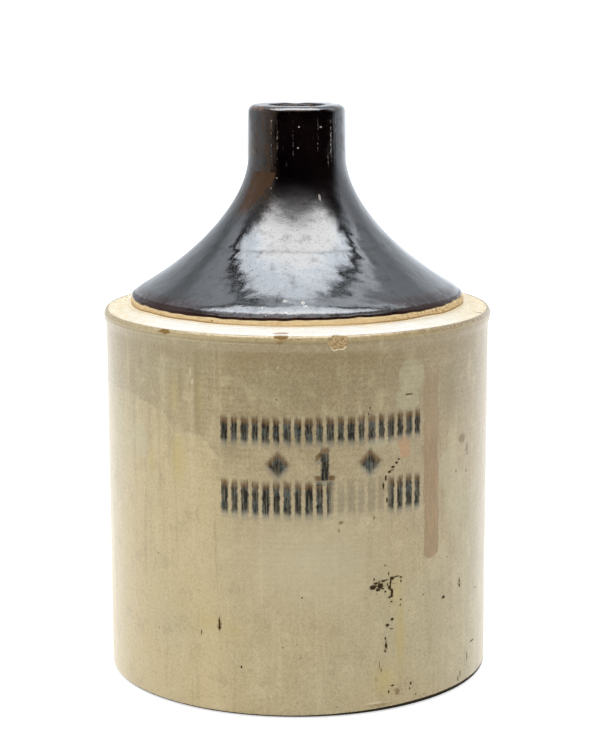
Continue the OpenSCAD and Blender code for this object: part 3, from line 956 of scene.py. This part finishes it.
def cobalt_band(m, u, z, where):
    """How much cobalt there is and how far down each mark: rows of strokes, a numeral and two diamonds."""
    wobble = m.noise(where, 0.5, 2.0) * 1.4 - 0.7
    u = u - MARK_MIDDLE[0] * WALL_FACE_R + wobble
    total = 0.0
    for height, half_h in ((ROW_HEIGHTS[0], 7.0), (ROW_HEIGHTS[2], 8.8)):
        turns = (u + 100 * STROKE_PITCH) / STROKE_PITCH
        pair = m.math("FRACT", turns * 0.5) * 2.0
        off_centre = abs(m.math("FRACT", turns) - 0.5)
        nudge = m.math("GREATER_THAN", pair, 1.0) * 0.05
        stroke = m.fade(off_centre + nudge, 0.43, 0.27)
        ends = m.noise(m.join(u, height), 0.42, 2.0) * 4.0 - 2.0
        tall = m.fade(abs(z - height + ends), half_h, half_h - 3.4)
        run = m.fade(abs(u), ROW_HALF_RUN, ROW_HALF_RUN - 1.2)
        row = stroke * tall * run
        if height == ROW_HEIGHTS[2]:
            worn = m.fade(abs(u - 16.0), 12.0, 15.0)
            row = row * (worn * 0.75 + 0.25)
        total = m.largest(total, row)
    local_z = z - ROW_HEIGHTS[1]
    stem = m.fade(abs(u), 2.4, 1.2) * m.fade(abs(local_z), 8.2, 6.0)
    flag_line = abs(local_z + u * -0.8 - 5.6)
    flag_run = m.fade(u, -4.8, -3.6) * m.fade(u, 0.6, 0.0)
    flag = m.fade(flag_line, 1.8, 0.7) * flag_run
    foot = m.fade(abs(u), 5.0, 3.8) * m.fade(abs(local_z + 6.4), 1.6, 0.6)
    total = m.largest(total, stem, flag, foot)
    for side in (-20.5, 20.5):
        across = abs(u - side) / 6.2
        upright = abs(local_z) / 6.8
        diamond = m.fade(across + upright, 1.1, 0.6)
        total = m.largest(total, diamond)
    return total


# %% [markdown]
# The glaze is built up in steps, as on the pot: large tones, washes, one long drip, stains, the cobalt,
# specks, and last the rim and the foot. First come the noises that all of them share. Stretched upright,
# a noise gives streaks; stretched sideways, it gives the marks of wiping on the wheel.

# %% The noises of the pot's glaze
m = Recipe("grey_buff_glaze")
where, x, y, z = m.place()
u = m.turn(x, y) * WALL_FACE_R
flat = m.join(u, z)
drift = m.noise(where, 0.018, 3.0, 0.6) * 2.0 - 1.0
fine = m.noise(where, 0.9, 4.0, 0.65)
grain = m.noise(where, 2.1, 3.0, 0.7)
blotch = m.noise(where, 0.10, 5.0, 0.62)
streaks = m.noise(m.stretch(where, 1.0, 1.0, 0.06), 0.2, 5.0, 0.66)
wiped = m.noise(m.stretch(where, 0.1, 0.1, 1.0), 0.9, 3.0, 0.6)

# %% The large tones and the tide line
m.colour = m.mix(m.fade(drift * 26.0 + z, 150.0, 20.0), "upper", "lower")
# Painted light: the left side is made lighter, as if lit more from that side.
left = m.fade(drift * 14.0 + x, 5.0, -64.0)
m.lay(left * 0.55, "left")
line_height = TIDE_POINTS[0][1]
for (u0, z0), (u1, z1) in zip(TIDE_POINTS, TIDE_POINTS[1:]):
    line_height = m.fade(u, u0, u1, smooth=False) * (z1 - z0) + line_height
tide = (blotch - 0.5) * 5.0 + (z - line_height)
side = m.fade(x, -24.0, -40.0) * m.fade(y, 20.0, -20.0)
below = m.fade(tide, 1.6, -0.8) * side
m.lay(below * 0.5, "washed")
above = m.fade(tide, 16.0, 0.0) * m.fade(tide, -0.6, 0.8) * side
m.lay(above * 0.3, "olive")
tide_line = m.fade(abs(tide), 1.2, 0.2) * side
m.lay(tide_line * 0.25, "cream")
under_rim = m.fade(streaks * 40.0 + z, 132.0, 176.0)
m.lay(under_rim * 0.55, "olive")
tint = m.fade(m.noise(where, 0.011, 2.0), 0.48, 0.62)
m.lay(tint * 0.35, "green")

# %% Thin veils of cream, brown and dirt
m.veil(streaks, 0.52, 0.7, 0.4, "brown")
m.veil(streaks, 0.46, 0.3, 0.3, "cream")
m.veil(blotch, 0.52, 0.66, 0.28, "cream")
m.veil(blotch, 0.46, 0.34, 0.26, "brown")
m.veil(wiped, 0.54, 0.72, 0.08, "cream")
m.veil(fine, 0.42, 0.62, 0.2, "cream")
m.veil(fine, 0.5, 0.34, 0.2, "dirt")
m.veil(grain, 0.52, 0.7, 0.36, "cream")
m.veil(grain, 0.48, 0.32, 0.32, "dirt")

# %% [markdown]
# A placed mark mustn't look stamped. So the place at which it is looked up is shaken by noise: loosely for
# the washes and stains, and by about a third of that for small marks.

# %% Shaken places, and the washes
scatter = m.join(m.noise(where, 0.8, 3.0), m.noise(m.vector("ADD", where, (31.0, 7.0, 3.0)), 0.8, 3.0))
ragged = m.vector("MULTIPLY_ADD", scatter, (2.4, 2.4, 0.0), (-1.2, -1.2, 0.0))
loose = m.vector("ADD", flat, ragged)
near = m.vector("MULTIPLY_ADD", ragged, (0.35, 0.35, 0.0), flat)
m.veil(m.spots(loose, PALE_ZONES), 0.0, 1.4, 0.75, "zone")
m.veil(m.spots(loose, OLIVE_STREAKS), 0.0, 0.9, 0.6, "olive")
m.veil(m.spots(loose, YELLOW_WASHES), 0.0, 1.3, 0.62, "wash")

# %% [markdown]
# On the right, one long drip of thicker glaze ran down. It is a band whose sides sway a little, with a
# rounded foot. Noise drawn out upright gives it fibres.

# %% The long drip
drip_middle = (DRIP_LEFT + DRIP_RIGHT) / 2 * WALL_FACE_R
drip_half = (DRIP_RIGHT - DRIP_LEFT) / 2 * WALL_FACE_R
sway = m.noise(m.stretch(where, 0.1, 0.1, 1.0), 0.12, 3.0) * 4.4 - 2.2
drip_x = fine * 0.8 + abs(sway + u - drip_middle)
drip_side = m.fade(drip_x, drip_half + 0.7, drip_half + 0.2)
rounded = m.math("POWER", drip_x / (drip_half + 0.4), 2.0) * 2.2
drip_span = m.fade(z - rounded, DRIP_FOOT - 0.4, DRIP_FOOT + 0.4)
drip_upper = (m.fade(z, DRIP_TOP + 8.0, DRIP_TOP - 6.0) * 0.6
              + m.fade(z, DRIP_TOP + 36.0, DRIP_TOP + 24.0))
drip = drip_side * drip_span * drip_upper * 0.62
drip_edge = drip * m.fade(drip_x, drip_half - 0.9, drip_half)
pink = drip * (blotch * 0.6 + 0.45)
m.lay(pink * 0.9, "pink")
fibres = m.noise(m.stretch(where, 1.0, 1.0, 0.12), 1.0, 4.0, 0.7)
m.lay(drip * (m.fade(fibres, 0.48, 0.64) * 0.75), "drop")
m.lay(drip * (m.fade(fibres, 0.46, 0.34) * 0.6), "brown")
m.lay(drip * (m.fade(grain, 0.5, 0.34) * 0.5), "dirt")
m.veil(m.spots(near, PINK_DRIPS), 0.1, 0.35, 0.85, "drop")
m.lay(drip_edge * 0.35, "brown")

# %% Blooms, stains and scratches
m.veil(m.spots(loose, PALE_BLOOMS) * (blotch + 0.5), 0.14, 0.3, 0.38, "bloom")
m.veil(m.spots(loose, BROWN_STAINS) * (fine + 0.5), 0.1, 0.45, 0.88, "stain")
m.veil(m.spots(near, PALE_MARKS), 0.1, 0.6, 0.55, "scratch")

# %% [markdown]
# The cobalt is laid twice: as it was brushed, and as a pale trail 2.4 mm lower, where it ran in the fire.
# The upper ends of the strokes, which the trail leaves free, turn rusty.

# %% The cobalt
patchy = m.fade(m.noise(m.stretch(where, 1.0, 1.0, 0.07), 1.6, 4.0, 0.7), 0.38, 0.58)
mark = cobalt_band(m, u, z, where)
sunk = cobalt_band(m, u, z + 2.4, where)
upper_end = mark * (1.0 - sunk)
cobalt = mark * (patchy * 0.35 + 0.65)
ink = m.mix(m.fade(m.noise(where, 0.22, 3.0, 0.6), 0.48, 0.64), "cobalt", "blue")
ink = m.mix(upper_end * 0.8, ink, "rust")
m.lay(sunk * 0.36, "slate")
m.lay(cobalt, ink)

# %% [markdown]
# Iron in the clay burns through as dark specks. Some are placed, some fall by chance, at most one to a cell,
# and near the splashes there is a fine spatter.

# %% Specks
distance, size, chance, _ = m.cells(where, 0.16)
random_speck = m.fade(distance, size * 0.1, size * 0.04) * m.math("GREATER_THAN", chance, 0.45)
specks = m.largest(m.fade(m.spots(near, DARK_SPECKS), 0.12, 0.5), random_speck * 0.6)
spatter = (m.fade(m.spots(loose, SPATTER), 0.0, 0.5)
           * m.fade(m.noise(where, 1.5, 2.0, 0.5), 0.63, 0.68))
specks = m.largest(specks, spatter * 0.75)
m.lay(specks * 0.95, "speck")

# %% Under the rim: a darker band, dirt with painted shade, rust, turning lines and a painted highlight
under = m.fade(streaks * 14.0 + z, 160.0, 170.0) * m.fade(z, 169.6, 168.6)
m.lay(under * 0.3, "brown")
# Partly dirt and partly painted shade: a dark mottled band low on the rim bead.
dirt_and_bead_shade = m.fade(z, 168.4, 169.6) * m.fade(m.noise(where, 0.6, 4.0, 0.75), 0.46, 0.62)
m.lay(dirt_and_bead_shade * 0.28, "brown")
m.veil(z, 169.0, 170.2, 0.35, (212, 188, 138))
near_rim = m.fade(z, 169.6, 171.2)
rust = near_rim * m.fade(m.fade(x, 20.0, 70.0) * 0.09 + m.noise(where, 0.7, 4.0, 0.8), 0.52, 0.64)
m.lay(rust * 0.75, "rust")
# A painted highlight: a thin pale line below the rim bead, laid on the left only.
painted_bead_highlight = m.fade(abs(z - 168.5), 0.45, 0.1)
turned = m.fade(abs(z - 169.6), 0.4, 0.1)
on_left = m.fade(x, 10.0, -30.0) * m.fade(fine, 0.3, 0.5)
turned = turned * on_left
m.lay(turned * 0.3, "olive")
m.lay(painted_bead_highlight * on_left * 0.35, "cream")

# %% Clay in the knocks, and a painted contact shadow at the foot
bare = m.fade(m.stored("bare_clay") + (fine * 0.6 - 0.3), 0.25, 0.5)
clay = m.mix(m.fade(m.noise(where, 1.3, 4.0, 0.6), 0.38, 0.62), (148, 120, 80), (198, 174, 134))
clay = m.mix(m.fade(x, 5.0, -5.0) * 0.85, clay, (132, 102, 56))
# A painted highlight: a pale line on the lower lip of the large knock.
clay = m.mix(m.fade(m.stored("lip_highlight"), 0.2, 0.7) * 0.7, clay, (240, 228, 196))
m.lay(bare, clay)
# A painted contact shadow: a dark line along the foot, thicker on the right, and dull so that it mirrors
# little.
foot_shadow_top = m.fade(x, -10.0, 70.0) * 1.3 + 1.5
painted_foot_shadow = m.fade((fine - 0.5) * 0.5 + z - foot_shadow_top, 0.15, -0.15)
m.lay(painted_foot_shadow * 0.96, "foot")

# %% [markdown]
# The same masks shape the surface: a drip stands up, specks and turning lines sink in. Bare clay, specks,
# cobalt and the painted shadow at the foot are duller than the glaze round them.

# %% The surface of the pot's glaze
height = fine * 0.25 + m.math("SINE", z * 2.3) * 0.1 + m.noise(where, 0.12, 2.0) * 1.6
height = height + drip * 0.5 - specks * 0.5 - turned * 0.5 + bare * fine * 1.2
dull = m.largest(painted_foot_shadow, bare, specks, cobalt * 0.7)
roughness = m.largest(grain * 0.16 + 0.22, dull * 0.8)
pot_glaze_coat.data.materials.append(m.finish(
    roughness, m.bump(height, 0.35, 0.0004), IOR=1.5, Specular_IOR_Level=dull * -0.44 + 0.5))

# %% [markdown]
# Bare stoneware fires to a cream where it was wiped and to a tan where it was left. Five clays share
# one recipe: the ledge is pale with a peach blush towards the sides and a few marks, the ring of the top
# is tan with bands, a painted highlight under the brown glaze's edge and a painted shadow line at its
# foot, the strap is tan without them, the slip in the seam is pale, and the slip pressed round the
# strap's roots is browner. Near the floor at the pot's outer foot, each is painted with a contact shadow.


# %% The bare clays
def bare_clay(name, pale, warm, dark, warm_start, warm_full, groove_size, banded=False, marks_above=None):
    m = Recipe(name)
    where, x, y, z = m.place()
    radius = m.math("SQRT", x * x + y * y)
    coarse = m.noise(where, 0.09, 3.0, 0.6)
    fine = m.noise(where, 1.6, 4.0, 0.6)
    side = m.fade(abs(x), warm_start, warm_full)
    m.colour = m.mix(side * 0.8, pale, warm)
    m.veil(coarse, 0.45, 0.72, 0.3, warm)
    far = m.fade(abs(x), 62.0, 86.0) * m.fade(m.noise(where, 0.3, 4.0, 0.7), 0.42, 0.6)
    m.lay(far * 0.55, (226, 206, 156))
    groove = m.math("SINE", (radius + z * 1.3) * groove_size)
    m.veil(groove, 0.3, 1.0, 0.22, dark)
    m.veil(fine, 0.56, 0.74, 0.45, dark)
    m.veil(m.cells(where, 0.35)[0], 0.1, 0.04, 0.5, dark)
    normal = m.bump(fine * 0.6 + groove * 0.2, 0.5, 0.0003)
    if banded:
        below = m.stored("below_edge")
        above = (fine - 0.5) * 0.5 + m.stored("above_slip")
        layers = m.noise(m.stretch(where, 0.12, 0.12, 1.0), 1.6, 3.0, 0.6)
        right = m.fade(x, 36.0, 54.0)
        # A painted highlight: a pale line just under the brown glaze's edge.
        m.veil(below, 1.1, 0.4, 0.65, (246, 224, 176))
        m.veil(layers, 0.52, 0.62, 0.45, (186, 148, 88))
        mottled = m.fade(m.noise(where, 0.55, 4.0, 0.7), 0.5, 0.62) * (right * 0.6 + 0.15)
        m.lay(mottled, (168, 128, 78))
        flat = m.join(m.turn(x, y) * FOOT_R, z)
        m.lay(m.fade(m.spots(flat, BAND_CHIPS), 0.2, 0.5), (252, 240, 190))
        m.veil(m.spots(flat, BAND_MARKS), 0.2, 0.5, 0.85, (104, 70, 32))
        # A painted shadow: a thin dark line at the ring's foot above the slip, stronger at the sides.
        ring_foot_shadow = m.fade(abs(above - 0.4), 0.55, 0.15)
        m.lay(ring_foot_shadow * (m.fade(abs(x), 10.0, 50.0) * 0.45 + 0.35), (146, 106, 48))
        m.lay(m.fade(above, 0.12, -0.12), (255, 250, 232))
    if marks_above:
        marks = m.spots(m.join(x, y), marks_above)
        m.veil(marks, 0.05, 0.4, 0.9, (172, 130, 102))
    # A painted contact shadow: dark clay where the foot meets the floor.
    clay_foot_shadow = m.fade(z, 3.2, 2.4) * m.fade(radius, 84.0, 86.0)
    m.lay(clay_foot_shadow * 0.95, "foot")
    return m.finish(fine * 0.2 + 0.62, normal, IOR=1.45)


# %% Marks on the ring of the top and on the ledge
def on_level(px, py, height):
    """Where a line of sight meets a level plane."""
    d = sight(px, py)
    return tuple((CAMERA_AT + d * (height - CAMERA_AT[2]) / d[2])[:2])


BAND_CHIPS = wall_spots([
    (435, 309, 0.9, 0.5, 1.0), (439.5, 307, 0.8, 0.4, 1.0), (441, 312, 1.1, 0.4, 1.0),
    (446, 309.5, 0.7, 0.5, 1.0),
], FOOT_R)
BAND_MARKS = wall_spots([
    (431, 308, 0.5, 0.5, 1.0), (437, 311.5, 0.5, 0.4, 1.0), (443, 310, 0.4, 0.5, 1.0),
    (448, 313, 1.2, 0.4, 1.0), (415, 318, 0.4, 0.6, 0.9), (419, 315, 0.3, 0.5, 0.9),
    (455, 301, 1.2, 0.3, 1.0), (458, 306, 1.4, 0.3, 1.0), (452, 308, 0.4, 0.9, 0.9),
    (212, 321, 0.9, 0.5, 1.0), (424, 306.5, 0.5, 0.3, 0.9),
], FOOT_R)
LEDGE_MARKS = [(*on_level(281, 334.0, RIM_TOP_Z), 4.4, 1.5, 1.0),
               (*on_level(478, 312.5, RIM_TOP_Z), 3.0, 1.0, 1.0)]
print("marks on the ledge at", [(round(mark[0], 1), round(mark[1], 1)) for mark in LEDGE_MARKS])

# %% The five clays
TAN = ((238, 208, 156), (218, 188, 138), (160, 124, 76), 20.0, 90.0, 7.0)
SEAM_CLAY = bare_clay("seam_slip_clay", (255, 250, 236), (250, 234, 196), (186, 148, 92), 50.0, 96.0,
                      3.0)
SLIP_CLAY = bare_clay("joining_slip_clay", (196, 160, 110), (170, 132, 84), (120, 88, 52), 20.0, 80.0,
                      3.0)
pot_clay.data.materials.append(
    bare_clay("bare_stoneware_ledge", (255, 255, 251), (248, 234, 200), (214, 184, 136), 50.0, 96.0,
              4.6, marks_above=LEDGE_MARKS))
top_clay.data.materials.append(bare_clay("bare_stoneware_ring", *TAN, banded=True))
strap_clay.data.materials.append(bare_clay("bare_stoneware_strap", *TAN))
neck_root.data.materials.append(SLIP_CLAY)
shoulder_root.data.materials.append(SLIP_CLAY)

# %% [markdown]
# The brown glaze is almost black where it is thick and breaks to rust where it is thin, at the lip and at
# its lower edge. Its gloss does most of the work: the surface is smooth but not flat, so reflections
# have feathered edges. The bump adds a slow swell, orange peel, pits, and on the neck upright streaks and
# a fine grain that blurs what it mirrors. Pale streaks on the neck are painted reflections; they and pale
# dots are placed by their picture points.

# %% Painted reflection streaks and pale dots in the brown glaze
NECK_PAINTED_GLINTS = []
NECK_DOTS = []
for px, py, radius, half_w, half_h, strength in [
    # picture x, picture y, radius of the surface there, half width, half height, strength
    (293, 142, 22.7, 0.35, 15.0, 0.8), (318, 136, 22.7, 0.45, 11.0, 1.0),
    (331, 140, 22.7, 0.6, 15.0, 1.2), (328, 160, 22.7, 0.35, 7.0, 1.0),
    (271, 140, 22.7, 0.5, 18.0, 0.8), (277, 138, 22.7, 0.7, 17.0, 0.7),
    (336, 128, 22.7, 0.5, 10.0, 0.6), (299, 127, 22.7, 0.5, 0.5, 1.5),
    (298, 148, 22.7, 0.5, 0.5, 1.5), (271, 121, 22.7, 0.5, 0.5, 1.5), (321, 127, 22.7, 0.8, 0.5, 1.5),
    (318, 197, 25.6, 0.6, 1.8, 1.5), (251, 200, 28.0, 0.5, 0.5, 1.2), (277, 178, 23.8, 0.4, 0.4, 1.2),
    (285, 301, 69.1, 1.1, 0.6, 1.5), (303, 303, 70.3, 1.2, 0.7, 1.5), (305, 306, 71.5, 1.4, 0.4, 1.5),
    (286, 313, 76.3, 0.8, 0.4, 1.2), (262, 308, 73.6, 0.6, 0.4, 1.0), (272, 188, 24.6, 0.4, 0.5, 1.0),
]:
    mark_angle, mark_height = on_wall(px, py, radius)
    mark = (mark_angle * NECK_R, mark_height, half_w * NECK_R / radius, half_h, strength)
    (NECK_PAINTED_GLINTS if half_h > 3 else NECK_DOTS).append(mark)
print(len(NECK_PAINTED_GLINTS), "painted_glints and", len(NECK_DOTS), "dots in the brown glaze")

# %% The tones of the brown glaze
m = Recipe("brown_slip_glaze")
where, x, y, z = m.place()
coarse = m.noise(where, 0.05, 4.0, 0.6)
fine = m.noise(where, 1.1, 5.0, 0.65)
upright = m.noise(m.stretch(where, 1.0, 1.0, 0.05), 1.1, 4.0, 0.65)
on_neck = m.fade(z, 214.0, 226.0)
m.colour = m.mix(m.fade(coarse, 0.35, 0.7), (2, 0, 1), (14, 6, 7))
m.veil(fine, 0.55, 0.75, 0.28, (58, 38, 34))
# Painted reflections: pale upright streaks in the glaze's colour on the neck.
m.lay(on_neck * m.fade(upright, 0.64, 0.74) * 0.4, (92, 80, 74))

# %% Painted reflections: pale streaks on the neck, and a brown patch left of it
turn = m.turn(x, y)
flat = m.join(turn * NECK_R, z)
glint_breakup = m.noise(m.stretch(where, 1.0, 1.0, 0.4), 1.5, 3.0, 0.7)
# Painted reflections: thin pale streaks on the neck, broken up by noise, with pale dots.
streaks = m.spots(flat, NECK_PAINTED_GLINTS) * m.fade(glint_breakup, 0.5, 0.6)
pale_dots_and_glints = m.largest(m.spots(flat, NECK_DOTS), streaks * 0.7)
m.veil(pale_dots_and_glints, 0.1, 0.6, 0.7, (196, 186, 176))
# A painted reflection: a brown patch with sharp edges left of the neck.
edge = m.noise(where, 0.3, 3.0) * 0.16 + turn
from_right = edge - (m.fade(z, 219.0, 234.0, smooth=False) * 0.36 - 0.7)
reflection_patch = (m.fade(from_right, 0.02, -0.02) * m.fade(edge, -1.02, -0.9)
         * m.fade(z, 214.0, 221.0) * m.fade(z, 236.4, 235.8))
m.lay(reflection_patch * 0.9, (72, 50, 33))

# %% Thin glaze at the lip and the foot, and pits
thin_lip = m.fade(z, 263.0, 265.2) * m.fade(m.noise(where, 0.3, 4.0, 0.7), 0.48, 0.64)
front_left = m.fade(turn, -1.5, -1.1) * m.fade(turn, -0.2, -0.5) * 0.75 + 0.25
m.lay(thin_lip * front_left, (140, 82, 38))
thin_foot = m.fade(z, 181.5, 176.5) * m.fade(m.noise(where, 0.5, 3.0), 0.3, 0.6)
m.lay(thin_foot * 0.55, (70, 40, 24))
wavy = z - m.fade(x, 10.0, 40.0) * 0.8 + m.noise(where, 0.3, 4.0, 0.7) * 2.4
low = m.fade(wavy, 184.6, 182.8) * m.fade(abs(turn), 0.48, 0.78)
m.lay(low * 0.7, (58, 38, 36))
distance, size, chance, pale_chance = m.cells(where, 0.16)
pit = m.fade(distance, size * 0.11, size * 0.05) * m.math("GREATER_THAN", chance, 0.66)
pale_pit = pit * m.math("GREATER_THAN", pale_chance, 0.5)
m.lay(pale_pit * 0.8, (226, 214, 196))

# %% [markdown]
# Bump and dirt decide what the glaze mirrors. The bump bends the reflections and frays their edges. Dirt
# takes gloss away: where the glaze is smeared, low on the sides, in the pits, on the painted reflection
# patch and its brown edge left of the neck, at the edge and in the mouth.

# %% The surface of the brown glaze
swell = m.noise(where, 0.07, 2.0, 0.5)
peel = m.noise(where, 1.2, 3.0, 0.65) * (m.fade(z, 202.0, 188.0) * 0.06 + 0.07)
grainy = m.fade(z, 206.0, 216.0) * m.fade(z, 242.0, 230.0)
grain = m.noise(where, 1.9, 2.0, 0.5) * grainy
height = swell * 1.6 + peel + fine * 0.04 + upright * on_neck * 0.25 - pit * 0.5 + grain * 0.16
roughness = m.largest(m.fade(fine, 0.45, 0.8) * 0.06 + grainy * 0.12 + 0.035, pale_pit * 0.7)
ring_line = m.fade(abs(coarse * 1.6 + z - 203.4), 1.1, 0.1)
smeared = m.fade(m.noise(where, 0.16, 4.0, 0.6), 0.52, 0.7)
low_dirt = low * (m.fade(m.noise(where, 0.35, 4.0, 0.75), 0.4, 0.58) * 0.5 + 0.6)
# The painted reflection patch reaches round the left of the neck in brown.
neck_left = m.fade(turn, -0.3, -0.6) * on_neck * m.fade(y, 6.0, -6.0)
reflection_patch_edge = m.noise(m.stretch(where, 1.0, 1.0, 0.35), 0.55, 5.0, 0.75)
reflection_patch_edge = neck_left * m.fade(reflection_patch_edge, 0.4, 0.6)
m.lay(reflection_patch_edge * 0.6, (82, 64, 50))
near_edge = m.fade(m.noise(where, 0.4, 4.0, 0.7) * 1.4 + z, 180.7, 180.0)
in_mouth = m.fade(m.math("SQRT", x * x + y * y), 15.2, 14.2)
dirt = (m.fade(fine, 0.46, 0.3) * 0.3 + ring_line * 0.1 + smeared * 0.14 + low_dirt * 0.28
        + pit * 0.4 + reflection_patch * 0.34 + reflection_patch_edge * 0.34 + m.largest(near_edge, in_mouth) * 0.4)
BROWN_GLAZE = m.finish(roughness, m.bump(height, 0.5, 0.0006), IOR=1.55,
                       Specular_IOR_Level=m.largest(0.52 - dirt, 0.05))
top_glaze_coat.data.materials.append(BROWN_GLAZE)
handle_glaze_coat.data.materials.append(BROWN_GLAZE)

# %% The glaze of the lining
m = Recipe("inside_slip_glaze")
fine = m.noise(m.place()[0], 0.6, 4.0, 0.6)
m.colour = m.mix(m.fade(fine, 0.35, 0.65), (26, 16, 12), (54, 36, 25))
lining.data.materials.append(m.finish(fine * 0.2 + 0.45, m.bump(fine, 0.3, 0.0004), IOR=1.5,
                                      Specular_IOR_Level=0.12))
print(len(bpy.data.materials), "materials")

# %% [markdown]
# Each piece now stands for its CAD node and rides on the jug's one body.
# The slip in the seam keeps its CAD solid: its shape is right and hardly any of it shows.

# %% Tie the pieces to the frame
PIECES = [
    (pot_clay, "clay_pot", "bare_stoneware"),
    (pot_glaze_coat, "pot_glaze", "grey_glaze"),
    (top_clay, "clay_top", "bare_stoneware"),
    (top_glaze_coat, "top_glaze", "brown_glaze"),
    (lining, "inside_glaze", "inside_brown_glaze"),
    (strap_clay, "clay_handle", "bare_stoneware"),
    (neck_root, "neck_root_clay", "joining_slip"),
    (shoulder_root, "shoulder_root_clay", "joining_slip"),
    (handle_glaze_coat, "handle_glaze", "brown_glaze"),
]
for piece, node_name, slot_name in PIECES:
    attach(piece, "root")
    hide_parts(node_name)

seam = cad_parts["top_seam_slip"]
if not seam.material_slots:
    seam.data.materials.append(SEAM_CLAY)
for place in seam.material_slots:
    place.material = SEAM_CLAY
print(len(PIECES), "pieces stand for CAD nodes")

# %% [markdown]
# The floor is a wide pale sheet that ends half a metre in front of the jug, as a table does: the dark
# beyond it is what the neck mirrors. For the camera it also glows, so it reads as white and keeps only the
# jug's own shadow. Mirrored rays see a pool of light round the jug, which brightens its rounded sides.

# %% The floor
m = Recipe("pale_floor")
pool = m.fade(m.vector("LENGTH", m.place()[0]), 2400.0, 900.0)
in_mirror = m.largest(m.ray("Glossy"), m.ray("Transmission")) * (pool * 0.68 + 0.42)
glow = m.node("ShaderNodeEmission", {"Strength": m.ray("Camera") * 0.62 + in_mirror})
diffuse = m.node("ShaderNodeBsdfDiffuse", {"Color": (0.86, 0.86, 0.86, 1)})
FLOOR_LOOK = m.show(m.node("ShaderNodeAddShader", (diffuse, glow)))

floor_mesh = bpy.data.meshes.new("studio_floor")
HALF_FLOOR = 3.0
FRONT_EDGE = -0.5
floor_mesh.from_pydata([(-HALF_FLOOR, FRONT_EDGE, 0), (HALF_FLOOR, FRONT_EDGE, 0),
                        (HALF_FLOOR, HALF_FLOOR, 0), (-HALF_FLOOR, HALF_FLOOR, 0)], [], [(0, 1, 2, 3)])
floor = bpy.data.objects.new("studio_floor", floor_mesh)
bpy.context.scene.collection.objects.link(floor)
floor.data.materials.append(FLOOR_LOOK)

# %% [markdown]
# The studio is the world. Plain rays see an even pale light, at which a colour renders about as written.
# Mirrored rays see the studio as the glossy top shows it: a wide overhead panel, a dark gap behind it, pale
# walls behind and beside the jug, and darkness on the camera's side.

# %% The studio
world = bpy.data.worlds.new("studio")
bpy.context.scene.world = world
world.cycles.sampling_method = "NONE"
m = Recipe("studio", world)
dir_x, dir_y, dir_z = m.split(m.node("ShaderNodeTexCoord", output="Generated"))
up = m.largest(dir_z, 0.02)
across = dir_x / up
behind = dir_y / up
level = m.largest(m.math("SQRT", 1.0 - dir_z * dir_z), 0.001)
to_back = dir_y / level
to_right = dir_x / level

gap_half = m.fade(abs(across), 0.06, 0.22) * 0.052 + 0.012
gap_middle = 0.355
for start, end, shift in ((0.10, 0.24, -0.05), (-0.12, -0.22, 0.045), (-0.30, -0.42, -0.025),
                          (-0.45, -0.60, 0.055)):
    gap_middle = m.fade(across, start, end) * shift + gap_middle
past_gap = behind - gap_middle
panel = m.fade(abs(across + 0.02), 0.82, 0.68) * m.fade(past_gap + gap_half, 0.008, -0.008)
panel = panel * m.fade(behind, -0.54, -0.32)
panel_light = panel * (m.fade(behind, 0.22, -0.02) * 4.5 + 9.0)
back = m.fade(past_gap - gap_half, -0.008, 0.008) * m.fade(to_back, 0.05, 0.35)
on_right = m.fade(across, -0.2, 0.15)
near_gap = m.fade(behind, 1.2, 0.5) * (on_right * -0.9 + 1.6)
beside_gap = m.fade(behind, 0.6, 0.38) * (on_right * 2.8 + 1.3)
near_gap = near_gap + beside_gap
far_back = m.fade(behind, 1.2, 1.8) * 0.2 + (m.fade(across, 0.2, 0.6) * 0.35 + 0.76)
level_back = m.fade(dir_z, 0.3, 0.05) * (m.fade(to_right, 0.2, 0.5) * 0.45)
back_light = back * (near_gap + (far_back + level_back))
sides = m.fade(abs(to_right), 0.72, 0.86) * m.fade(dir_z, 0.8, 0.5)
left_side = m.fade(to_right, 0.0, -0.5) * m.fade(to_back, -0.6, -0.46)
left_side = left_side * (m.fade(to_back, -0.3, -0.1) * 0.45 + 0.55)
right_side = m.fade(to_right, 0.0, 0.5) * m.fade(to_back, 0.14, 0.3)
side_light = sides * (right_side * 1.4 + left_side)
front_light = m.fade(dir_z, 0.62, 0.95) * (m.fade(to_back, 0.1, -0.4) * 2.0)
mirrored = m.largest(back_light, side_light) + m.largest(panel_light, front_light) + 0.01

PLAIN_LIGHT = 0.90
mirror_ray = m.largest(m.ray("Glossy"), m.ray("Transmission"))
light = mirror_ray * mirrored + (1.0 - mirror_ray) * PLAIN_LIGHT
direct = m.ray("Camera")
cool = mirror_ray * m.fade(behind, -0.05, 0.12)
m.show(m.node("ShaderNodeBackground", {"Color": m.mix(cool, (1, 1, 1, 1), (0.93, 1.0, 1.08, 1)),
                                       "Strength": direct + (1.0 - direct) * light}),
       "ShaderNodeOutputWorld")

# %% [markdown]
# One soft lamp from the upper left gives the ledge and the handle some shape and a direction to the shadow.
# It isn't seen in reflections, because the studio already has its panel there.


# %% The key lamp
def soft_lamp(name, place, size, power):
    lamp = bpy.data.lights.new(name, "AREA")
    lamp.shape = "DISK"
    lamp.size = size
    lamp.energy = power
    holder = bpy.data.objects.new(name, lamp)
    bpy.context.scene.collection.objects.link(holder)
    holder.location = place
    aim = -np.array(place) + np.array([0, 0, 0.12])
    holder.rotation_mode = "QUATERNION"
    holder.rotation_quaternion = Vector(aim.tolist()).to_track_quat("-Z", "Y")
    holder.visible_glossy = False


soft_lamp("key_lamp", (-0.7, -0.7, 1.3), 0.9, 3.0)

# %% [markdown]
# Colours should render about as written, so the view transform is plain.

# %% Finish
bpy.context.scene.view_settings.view_transform = "Standard"
